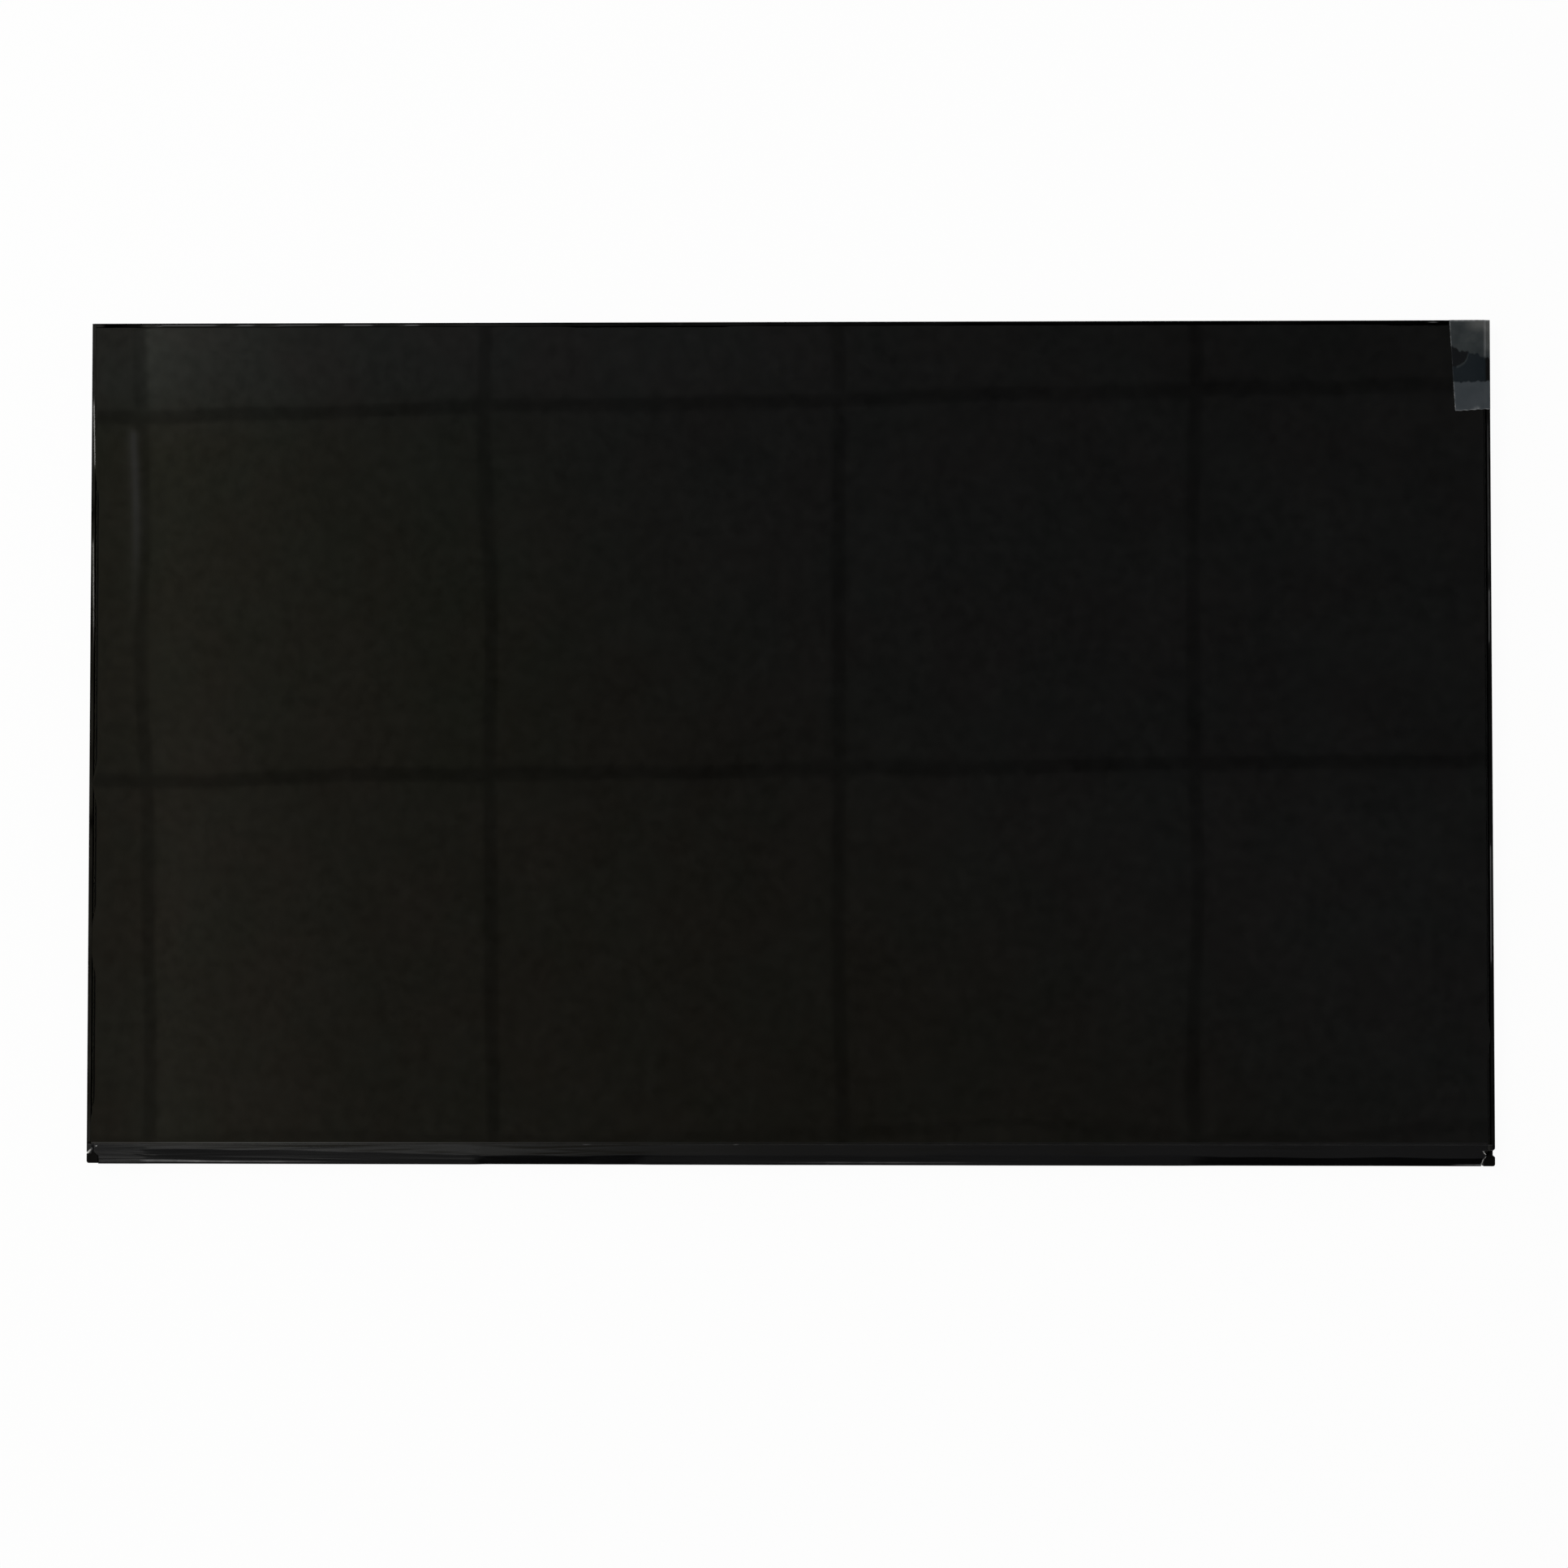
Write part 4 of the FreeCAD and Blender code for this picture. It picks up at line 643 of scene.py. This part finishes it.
def wall_gloss():
    """Black moulded plastic: glossy along the walls' tops and duller in the listed stretches; dull and
    painted darker at the strip's two edges, a painted shade of the rounded outer edge and of the gap beside
    the film.
    """
    material, tree, shader, place = new_finish("wall_gloss")
    sheen = attribute(tree, "sheen")
    cloud = noise(tree, place, 240.0, 3.0)
    black = ramp(tree, cloud, (0.3, colour(0.0010, 0.0010, 0.0010)), (0.7, colour(0.0036, 0.0036, 0.0034)))
    plug(tree, shader, Base_Color=mixed(tree, sheen, colour(0.0004, 0.0004, 0.0004), black),
         Specular_IOR_Level=math_node(tree, "MULTIPLY", sheen, 0.5),
         Roughness=span(tree, cloud, 0.3, 0.7, 0.10, 0.18))
    return material


def black_tape():
    """Thin black adhesive tape: satin, faintly fibrous along its length, with painted highlights: grey along
    its cut edge and its lower rim, and pale glints at its torn end and its slit."""
    material, tree, shader, place = new_finish("black_tape", IOR=1.46)
    fibres = noise(tree, stretched(tree, place, 90.0, 900.0, 900.0), 1.0, 4.0)
    cloud = noise(tree, stretched(tree, place, 60.0, 160.0, 160.0), 1.0, 3.0)
    black = ramp(tree, cloud, (0.25, colour(0.0009, 0.0009, 0.0010)), (0.8, colour(0.0021, 0.0021, 0.0024)))
    broken = span(tree, noise(tree, place, 950.0, 2.0), 0.36, 0.58, 0.0, 1.0)
    patchy = span(tree, noise(tree, stretched(tree, place, 160.0, 1.0, 1.0), 1.0), 0.3, 0.7, 0.3, 1.0)
    # Painted highlights: grey along the cut edge and the lower rim, pale glints at the torn end and the slit.
    edge = math_node(tree, "MULTIPLY", attribute(tree, "cut_edge_glint"), patchy)
    rim_highlight = math_node(tree, "MULTIPLY", attribute(tree, "rim_highlight"), patchy)
    torn_glint = math_node(tree, "MULTIPLY", attribute(tree, "torn_glint"), broken)
    with_edge_glint = mixed(tree, edge, black, colour(0.085, 0.085, 0.088))
    with_rim_highlight = mixed(tree, rim_highlight, with_edge_glint, colour(0.26, 0.26, 0.265))
    plug(tree, shader, Base_Color=mixed(tree, torn_glint, with_rim_highlight, colour(0.78, 0.78, 0.77)),
         Roughness=span(tree, cloud, 0.25, 0.75, 0.17, 0.24),
         Normal=bump(tree, fibres, 0.000004, 0.2))
    return material


def clear_tape():
    """Clear tape over black: milky where air is left under it, dark where it has wetted the film, with
    painted highlights along its cut edges, in a spot at its foot and over its upper right.
    """
    material, tree, shader, place = new_finish("clear_tape", IOR=1.48)
    dry = attribute(tree, "dry")
    cloud = noise(tree, place, 260.0, 4.0, 0.55)
    milky = ramp(tree, cloud, (0.32, colour(0.018, 0.023, 0.0255)), (0.72, colour(0.041, 0.047, 0.049)))
    # Painted highlight over the upper right, along the top edge and beside the step.
    milky = mixed(tree, attribute(tree, "upper_highlight"), milky, colour(0.082, 0.086, 0.085))
    foot = ramp(tree, cloud, (0.32, colour(0.038, 0.046, 0.053)), (0.72, colour(0.050, 0.058, 0.066)))
    wetted = ramp(tree, cloud, (0.3, colour(0.0056, 0.0092, 0.0122)), (0.75, colour(0.0092, 0.0130, 0.0166)))
    dried = mixed(tree, attribute(tree, "foot_zone"), milky, foot)
    torn_glint = span(tree, noise(tree, place, 900.0, 2.0), 0.35, 0.65, 0.15, 1.0)
    shown = span(tree, dry, 0.0, 1.0, 0.12, 1.0)
    # Painted highlight along the cut edges and in a spot at the foot, broken by noise and weaker where wet.
    edge = math_node(tree, "MULTIPLY", attribute(tree, "cut_edge_glint"), math_node(tree, "MULTIPLY", torn_glint, shown))
    deeper = mixed(tree, attribute(tree, "deep"), wetted, colour(0.0042, 0.0048, 0.0060))
    bare = mixed(tree, attribute(tree, "off_film"), deeper, colour(0.0015, 0.0016, 0.0018))
    filled = mixed(tree, dry, bare, dried)
    plug(tree, shader, Base_Color=mixed(tree, edge, filled, colour(0.30, 0.31, 0.32)),
         Roughness=span(tree, dry, 0.0, 1.0, 0.07, 0.20),
         Normal=bump(tree, noise(tree, place, 700.0, 3.0), 0.00003, 0.4))
    return material


def moulded(name, dark, light, roughness, grain=2600.0, depth=0.00002, gloss=0.5):
    """Moulded or pressed stuff: mottled colour, uneven gloss and a fine spark-textured skin."""
    material, tree, shader, place = new_finish(name, Specular_IOR_Level=gloss)
    cloud = noise(tree, place, grain * 0.12, 3.0)
    skin = noise(tree, place, grain, 2.0)
    plug(tree, shader, Base_Color=ramp(tree, cloud, (0.3, colour(*dark)), (0.7, colour(*light))),
         Roughness=span(tree, cloud, 0.3, 0.7, roughness - 0.06, roughness + 0.06),
         Normal=bump(tree, skin, depth, 0.5))
    return material


def rolled_metal(name, dark, light, roughness, run=(9.0, 900.0, 900.0)):
    """Rolled sheet metal: fine lines along one axis in its tint, its gloss and its skin."""
    material, tree, shader, place = new_finish(name, Metallic=1.0)
    lines = noise(tree, stretched(tree, place, *run), 1.0, 5.0, 0.6)
    cloud = noise(tree, place, 45.0, 3.0)
    tint = ramp(tree, lines, (0.3, colour(*dark)), (0.7, colour(*light)))
    both = math_node(tree, "MULTIPLY_ADD", cloud, 0.5, lines)
    plug(tree, shader, Base_Color=tint,
         Roughness=span(tree, both, 0.4, 1.1, roughness - 0.08, roughness + 0.10),
         Normal=bump(tree, lines, 0.00001, 0.4))
    return material


def lined_film(name, dark, light, roughness, pitch, axis="Y"):
    """A film with fine parallel lines, as prism films and printed films have."""
    material, tree, shader, place = new_finish(name)
    scale = math.tau / (20.0 * pitch * MM)
    wave = add(tree, "TexWave", {"Vector": place, "Scale": scale, "Distortion": 0.0},
               wave_type="BANDS", bands_direction=axis, wave_profile="SIN").outputs["Fac"]
    cloud = noise(tree, place, 120.0, 3.0)
    plug(tree, shader, Base_Color=ramp(tree, wave, (0.35, colour(*dark)), (0.65, colour(*light))),
         Roughness=span(tree, cloud, 0.3, 0.7, roughness - 0.05, roughness + 0.05),
         Normal=bump(tree, wave, 0.00001, 0.4))
    return material


def glass_pane(name, tint, haze):
    """A clear pane with a green cast that drifts a little, and uneven polish at its ground edges."""
    material, tree, shader, place = new_finish(name, Transmission_Weight=1.0, IOR=1.51)
    cloud = noise(tree, place, 25.0, 3.0)
    paler = tuple(min(1.0, part * 1.06) for part in tint)
    plug(tree, shader, Base_Color=ramp(tree, cloud, (0.3, colour(*tint)), (0.7, colour(*paler))),
         Roughness=span(tree, noise(tree, place, 800.0), 0.3, 0.7, 0.02, haze))
    return material


def solder_mask():
    """Green board: covered copper runs along it as raised paler lines, with round covered vias."""
    material, tree, shader, place = new_finish("solder_mask", IOR=1.5)
    bend = add(tree, "TexVoronoi", {"Vector": stretched(tree, place, 55.0, 160.0, 1.0), "Scale": 1.0},
               distance="MANHATTAN").outputs["Distance"]
    runs = math_node(tree, "PINGPONG", math_node(tree, "MULTIPLY", bend, 9.0), 0.5)
    copper = span(tree, runs, 0.18, 0.26, 0.0, 1.0, True)
    holes = add(tree, "TexVoronoi", {"Vector": place, "Scale": 520.0, "Randomness": 0.6}).outputs["Distance"]
    via = span(tree, holes, 0.10, 0.14, 1.0, 0.0, True)
    green = mixed(tree, copper, colour(0.010, 0.085, 0.040), colour(0.022, 0.165, 0.080))
    plug(tree, shader, Base_Color=mixed(tree, via, green, colour(0.05, 0.24, 0.13)),
         Roughness=span(tree, noise(tree, place, 400.0), 0.3, 0.7, 0.28, 0.42),
         Normal=bump(tree, copper, 0.00003, 0.6))
    return material


def tinned_ends(name, node, count, length, share, body_dark, body_light):
    """A row of chip parts along x: a fired body between two tinned ends. The place within one part is
    the remainder of x from the first part's left end, divided by the pitch of the row."""
    material, tree, shader, place = new_finish(name)
    low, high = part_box(node)
    slack, soft = 0.2 * MM, 0.02 * MM
    pitch = (high.x - low.x - length * MM) / (count - 1)
    along = add(tree, "SeparateXYZ", {0: place}).outputs["X"]
    shifted = math_node(tree, "SUBTRACT", along, low.x - slack)
    local = math_node(tree, "SUBTRACT", math_node(tree, "MODULO", shifted, pitch), slack)
    middle = math_node(tree, "ABSOLUTE", math_node(tree, "SUBTRACT", local, length * MM / 2))
    limit = length * MM * (0.5 - share)
    end = span(tree, middle, limit - soft, limit + soft, 0.0, 1.0)
    cloud = noise(tree, place, 1500.0, 3.0)
    fired = ramp(tree, cloud, (0.3, colour(*body_dark)), (0.7, colour(*body_light)))
    plug(tree, shader, Base_Color=mixed(tree, end, fired, colour(0.72, 0.72, 0.70)), Metallic=end,
         Roughness=span(tree, end, 0.0, 1.0, 0.55, 0.28),
         Normal=bump(tree, cloud, 0.00001, 0.4))
    return material


def lamp_case():
    """Side lamps: white moulded cases, with yellow fill on the face turned to the light guide."""
    material, tree, shader, place = new_finish("lamp_case")
    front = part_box("leds")[1].y
    across = add(tree, "SeparateXYZ", {0: place}).outputs["Y"]
    fill = span(tree, across, front - 0.22 * MM, front - 0.16 * MM, 0.0, 1.0)
    cloud = noise(tree, place, 1800.0, 3.0)
    white = ramp(tree, cloud, (0.3, colour(0.80, 0.80, 0.78)), (0.7, colour(0.88, 0.88, 0.86)))
    yellow = ramp(tree, cloud, (0.3, colour(0.78, 0.60, 0.10)), (0.7, colour(0.86, 0.70, 0.18)))
    plug(tree, shader, Base_Color=mixed(tree, fill, white, yellow),
         Roughness=span(tree, cloud, 0.3, 0.7, 0.3, 0.45))
    return material


def dress(node, material):
    """Gives a CAD node its finish in place of the plain one it came with."""
    slots = NODES[node].data.materials
    slots.clear()
    slots.append(material)


def dress_nodes():
    """A finish for every CAD node that no new piece replaces."""
    dress("mould_frame", moulded("frame_black", (0.0012, 0.0012, 0.0011), (0.0026, 0.0025, 0.0022), 0.38,
                                 depth=0.000006, gloss=0.07))
    dress("rear_cover", rolled_metal("cover_aluminium", (0.66, 0.67, 0.68), (0.76, 0.77, 0.78), 0.34))
    dress("reflector_sheet", moulded("reflector_white", (0.86, 0.86, 0.85), (0.92, 0.92, 0.91), 0.62))
    dress("light_guide", glass_pane("guide_clear", (0.88, 0.93, 0.94), 0.08))
    dress("diffuser_sheet", moulded("diffuser_haze", (0.80, 0.80, 0.80), (0.88, 0.88, 0.88), 0.66))
    dress("lower_prism_sheet", lined_film("prism_lower", (0.70, 0.73, 0.76), (0.88, 0.90, 0.92), 0.25, 0.05))
    dress("upper_prism_sheet",
          lined_film("prism_upper", (0.70, 0.73, 0.76), (0.88, 0.90, 0.92), 0.25, 0.05, axis="X"))
    dress("led_flex", moulded("light_bar_white", (0.80, 0.80, 0.76), (0.88, 0.88, 0.84), 0.45))
    dress("leds", lamp_case())
    dress("light_bar_tape", moulded("bar_adhesive", (0.66, 0.66, 0.63), (0.78, 0.78, 0.75), 0.6))
    dress("rim_tape", moulded("rim_tape_black", (0.010, 0.010, 0.010), (0.018, 0.018, 0.018), 0.6))
    dress("rear_polariser", moulded("polariser_dark", (0.030, 0.030, 0.033), (0.045, 0.045, 0.048), 0.2))
    dress("array_glass", glass_pane("array_pane", (0.72, 0.84, 0.80), 0.06))
    dress("filter_glass", glass_pane("filter_pane", (0.72, 0.84, 0.80), 0.06))
    dress("front_polariser",
          moulded("polariser_black", (0.0008, 0.0008, 0.0008), (0.0014, 0.0014, 0.0014), 0.3, gloss=0.04))
    dress("driver_chips", moulded("bare_chip", (0.055, 0.057, 0.066), (0.085, 0.088, 0.098), 0.16))
    dress("board_flexes",
          lined_film("amber_film", (0.17, 0.070, 0.014), (0.42, 0.215, 0.060), 0.3, 0.24, axis="X"))
    dress("source_board", solder_mask())
    dress("board_adhesive", moulded("pad_adhesive", (0.60, 0.60, 0.57), (0.74, 0.74, 0.71), 0.6))
    dress("timing_chip", moulded("chip_case", (0.016, 0.016, 0.017), (0.028, 0.028, 0.029), 0.55))
    dress("power_chips", moulded("power_case", (0.016, 0.016, 0.017), (0.028, 0.028, 0.029), 0.5))
    dress("board_capacitors",
          tinned_ends("fired_tan", "board_capacitors", 15, 1.6, 0.2, (0.30, 0.20, 0.12), (0.42, 0.30, 0.19)))
    dress("board_inductors",
          moulded("pressed_grey", (0.055, 0.055, 0.057), (0.105, 0.105, 0.108), 0.6, 4200.0))
    dress("connector_housing", moulded("socket_black", (0.014, 0.014, 0.014), (0.024, 0.024, 0.024), 0.5))
    dress("connector_shell", rolled_metal("tinned_sheet", (0.58, 0.58, 0.57), (0.72, 0.72, 0.70), 0.3))
    dress("connector_contacts",
          rolled_metal("gold_blades", (0.72, 0.50, 0.17), (0.86, 0.64, 0.27), 0.24, (900.0, 9.0, 900.0)))
    dress("board_cover_tape", moulded("insulating_black", (0.010, 0.010, 0.011), (0.017, 0.017, 0.018), 0.42))


# Floor, light and camera: not part of the panel

def stage_sheet(name, points, uv, seen):
    """An open sheet of the surroundings, from a grid of points."""
    rows, columns = points.shape[:2]
    made = put_mesh(name, points.reshape(-1, 3), grid_faces(rows, columns), uv.reshape(-1, 2))
    made.visible_camera = seen
    return made


def paint_glow(made, tints):
    """Keeps the colour of its light for each point of an open sheet."""
    glow = made.data.color_attributes.new("glow", "FLOAT_COLOR", "POINT")
    paint = np.concatenate([tints, np.ones(tints.shape[:2] + (1,))], -1)
    glow.data.foreach_set("color", paint.astype(np.float32).ravel())


def shine(made, material, paint, strength):
    """Makes a sheet give off light of a colour and a strength, and nothing else."""
    tree = material.node_tree
    light = add(tree, "Emission", {"Color": paint, "Strength": strength})
    tree.links.new(light.outputs[0], tree.nodes["Material Output"].inputs["Surface"])
    made.data.materials.append(material)


def make_floor():
    """A level floor at the plane the panel lies on, white to the camera but with a share of true shade."""
    side = np.linspace(-FLOOR_HALF, FLOOR_HALF, 3)
    x, y = np.meshgrid(side, side, indexing="ij")
    points = np.stack([x, y, np.full_like(x, -FLOOR_DROP)], -1)
    floor = stage_sheet("pale_floor", points, np.stack([x, y], -1), True)
    material, tree, shader, place = new_finish("pale_floor", Roughness=0.9, Specular_IOR_Level=0.0)
    cloud = noise(tree, place, 3.0)
    paper = ramp(tree, cloud, (0.3, colour(0.86, 0.86, 0.86)), (0.7, colour(0.90, 0.90, 0.90)))
    plug(tree, shader, Base_Color=paper)
    ray = add(tree, "LightPath").outputs
    seen = math_node(tree, "MAXIMUM", math_node(tree, "MAXIMUM", ray["Is Camera Ray"], ray["Is Glossy Ray"]),
                     ray["Is Transmission Ray"])
    white = add(tree, "Emission", {"Color": colour(1.0, 1.0, 1.0), "Strength": 1.0}).outputs[0]
    share = math_node(tree, "MULTIPLY", seen, FLOOR_WHITE)
    blend = add(tree, "MixShader", {0: share, 1: shader.outputs[0], 2: white})
    tree.links.new(blend.outputs[0], tree.nodes["Material Output"].inputs["Surface"])
    floor.data.materials.append(material)


def overhead_places(x, y):
    """Which overhead panel a place belongs to: (column, row) = (a u + b v + c, d u + e v + f) /
    (1 + g u + h v), with u and v the place as the face mirrors it to the camera."""
    face = box_mm("protective_film")[1][2]
    reach = OVERHEAD_HEIGHT - face + CAMERA_PLACE[2] - face
    u, v = (x - CAMERA_PLACE[0]) / reach, (y - CAMERA_PLACE[1]) / reach
    scale = 1.0 + SCALE_SHARES[0] * u + SCALE_SHARES[1] * v
    column, row = (shares[0] * u + shares[1] * v + shares[2] for shares in (COLUMN_SHARES, ROW_SHARES))
    return column / scale, row / scale


def overhead_glow(column, row):
    """How bright the overhead panels are: a level part, an exponential fall to the right, a lamp-lit spot
    at the upper left, a lit row on the near side that only the tape mirrors; warm at the left, faintly green
    beside it, and cool at the near right."""
    far_row = 1.0 - smooth(-0.1, 0.1, row)
    beyond = smooth(*NEAR_ROWS, row)
    onward = np.maximum(column, 0.0)
    level = 0.110 + 0.21 * np.exp(-onward / 0.8)
    spot = smooth(-0.012, 0.02, column) * np.exp(-onward / 0.24) * bell(row, -0.25, 0.24)
    level = level + 0.34 * spot
    level = level + 0.03 * far_row * bell(column, 1.2, 0.9)
    level = level * (0.76 + 0.24 * np.maximum(smooth(-0.06, 0.06, column), far_row))
    level = level * (1.0 + 0.11 * smooth(0.95, 1.15, row) * smooth(0.6, 1.2, column))
    level = level * (1.0 - 0.09 * far_row * smooth(2.6, 3.2, column))
    glow = (1.0 - smooth(0.0, 1.75, column)) * (0.40 + 0.60 * smooth(-0.15, 0.25, column))
    lit = 0.85 + 0.75 * bell(row, 2.72, 0.2)
    lit = lit * (1.0 + 0.22 * (1.0 - smooth(0.3, 1.0, column))) * (1.0 - smooth(2.75, 3.05, row))
    near = 0.215 + 0.17 * (1.0 - smooth(0.0, 1.2, column))
    near = near * (1.0 - 0.36 * smooth(2.6, 3.2, row)) + glow * lit
    near = near * (1.0 - 0.5 * smooth(4.0, 5.2, row))
    level = level + (near - level) * beyond
    warm = 0.9 / (1.0 + np.exp(np.clip((column - 1.4 - 1.2 * (row - 0.5)) / 0.35, -30, 30)))
    warm = warm * (1.0 - 0.55 * far_row) * (1.0 - beyond)
    green = 0.05 * bell(column, 0.95, 0.28) * (1.0 - smooth(0.9, 1.2, row)) * (1.0 - far_row)
    cool = 0.06 * beyond * smooth(1.9, 2.6, column)
    tint = np.stack([np.ones_like(warm), 1.0 + green - 0.09 * warm * np.clip(row, 0, 1),
                     1.0 + cool - 0.33 * warm], -1)
    return level[..., None] * tint


def make_overhead():
    """A level bank of soft mottled panels over the set, with dimmer joints between them, and one lit rim."""
    x, y = np.meshgrid(np.linspace(OVERHEAD_HALF[0], -OVERHEAD_HALF[0], OVERHEAD_COLUMNS),
                       np.linspace(-OVERHEAD_HALF[1], OVERHEAD_HALF[1], OVERHEAD_ROWS), indexing="ij")
    column, row = overhead_places(x, y)
    points = np.stack([x, y, np.full_like(x, OVERHEAD_HEIGHT)], -1)
    bank = stage_sheet("overhead_panels", points, np.stack([column, row], -1), False)
    paint_glow(bank, overhead_glow(column, row))
    material, tree, _, _ = new_finish("overhead_panels")
    panel = add(tree, "UVMap", uv_map="UVMap").outputs[0]
    place = add(tree, "SeparateXYZ", {0: panel}).outputs

    def joint(axis, dim):
        """How much of the light is left beside the nearest joint across an axis."""
        half = math_node(tree, "ADD", place[axis], 0.5)
        off = math_node(tree, "ABSOLUTE", math_node(tree, "SUBTRACT", math_node(tree, "FRACT", half), 0.5))
        return span(tree, off, 0.011, 0.027, dim, 1.0, True)

    last = span(tree, place["Y"], 1.5, 1.6, 0.64, 0.84)
    plain = math_node(tree, "MINIMUM", joint("X", 0.68), joint("Y", last))
    plain = math_node(tree, "MAXIMUM", plain, math_node(tree, "GREATER_THAN", place["Y"], 2.1))
    rim = math_node(tree, "DIVIDE", math_node(tree, "ADD", place["X"], 0.022), 0.012)
    square = math_node(tree, "MULTIPLY", rim, rim)
    rim = math_node(tree, "POWER", math.e, math_node(tree, "MULTIPLY", square, -1.0))
    rim = math_node(tree, "MULTIPLY", rim, span(tree, place["Y"], 0.02, 0.05, 0.0, 1.0, True))
    rim = math_node(tree, "MULTIPLY", rim, span(tree, place["Y"], 0.22, 0.66, 1.0, 0.0, True))
    mottle = span(tree, noise(tree, panel, 30.0, 3.0, 0.6), 0.32, 0.62, 0.86, 1.14)
    plain = math_node(tree, "MULTIPLY_ADD", rim, 1.2, math_node(tree, "MULTIPLY", plain, mottle))
    drift = noise(tree, panel, 4.0)
    cast = ramp(tree, drift, (0.40, colour(1.0, 0.97, 0.95)), (0.60, colour(0.96, 1.0, 0.97)))
    glow = add(tree, "Attribute", attribute_name="glow").outputs["Color"]
    paint = add(tree, "Mix", {0: 1.0, 6: glow, 7: cast}, data_type="RGBA", blend_type="MULTIPLY").outputs[2]
    shine(bank, material, mixed(tree, rim, paint, colour(0.25, 0.25, 0.235)), plain)


def make_dark_card():
    """A dark card on the near side, out of the camera's sight: an upright curved sheet whose own glow
    rises smoothly to the white of the surroundings low down at its two ends."""
    turn, rise = np.meshgrid(np.linspace(-CARD_TURN, CARD_TURN, CARD_COLUMNS),
                             np.linspace(0.0, 1.0, CARD_ROWS), indexing="ij")
    x = CARD_PLACE[0] + CARD_REACH * np.sin(turn)
    y = CARD_PLACE[1] - CARD_REACH * np.cos(turn)
    points = np.stack([x, y, CARD_PLACE[2] + CARD_HEIGHT * rise], -1)
    card = stage_sheet("dark_card", points, np.stack([turn, rise], -1), False)
    level = 0.02 + 0.98 * smooth(0.45, 1.25, np.abs(turn)) * (1.0 - smooth(0.25, 0.5, rise))
    level = level + 0.14 * smooth(0.45, 0.7, rise) * smooth(-0.35, -0.7, turn)
    paint_glow(card, np.repeat(level[..., None], 3, -1))
    material, tree, _, _ = new_finish("dark_card")
    shine(card, material, add(tree, "Attribute", attribute_name="glow").outputs["Color"], 1.0)


def make_light():
    """White surroundings and one soft lamp high on the left."""
    world = bpy.data.worlds.new("white_room")
    world.use_nodes = True
    sky = world.node_tree.nodes["Background"]
    sky.inputs["Color"].default_value = colour(1.0, 1.0, 1.0)
    sky.inputs["Strength"].default_value = 1.0
    bpy.context.scene.world = world
    lamp = bpy.data.lights.new("soft_lamp", "AREA")
    lamp.shape = "SQUARE"
    lamp.size = LAMP_SIZE * MM
    lamp.energy = LAMP_POWER
    lamp.color = LAMP_TINT
    holder = bpy.data.objects.new("soft_lamp", lamp)
    holder.location = LAMP_PLACE * MM
    toward = -holder.location.normalized()
    holder.rotation_euler = toward.to_track_quat("-Z", "Y").to_euler()
    bpy.context.scene.collection.objects.link(holder)


def make_camera():
    """The camera over the panel."""
    camera = bpy.data.cameras.new("camera")
    camera.lens = CAMERA_LENS
    camera.sensor_width = SENSOR_WIDTH
    camera.clip_start = 0.01
    camera.clip_end = 100.0
    holder = bpy.data.objects.new("camera", camera)
    holder.location = CAMERA_PLACE * MM
    holder.rotation_euler = [math.radians(angle) for angle in CAMERA_TURN]
    bpy.context.scene.collection.objects.link(holder)
    bpy.context.scene.camera = holder


make_face_film().data.materials.append(film_over_black())
for wall in ("left", "right", "top"):
    make_wall_top(wall).data.materials.append(wall_gloss())
make_edge_tape().data.materials.append(black_tape())
make_pull_tab().data.materials.append(clear_tape())
dress_nodes()
make_floor()
make_overhead()
make_dark_card()
make_light()
make_camera()
bpy.context.scene.view_settings.view_transform = "Standard"
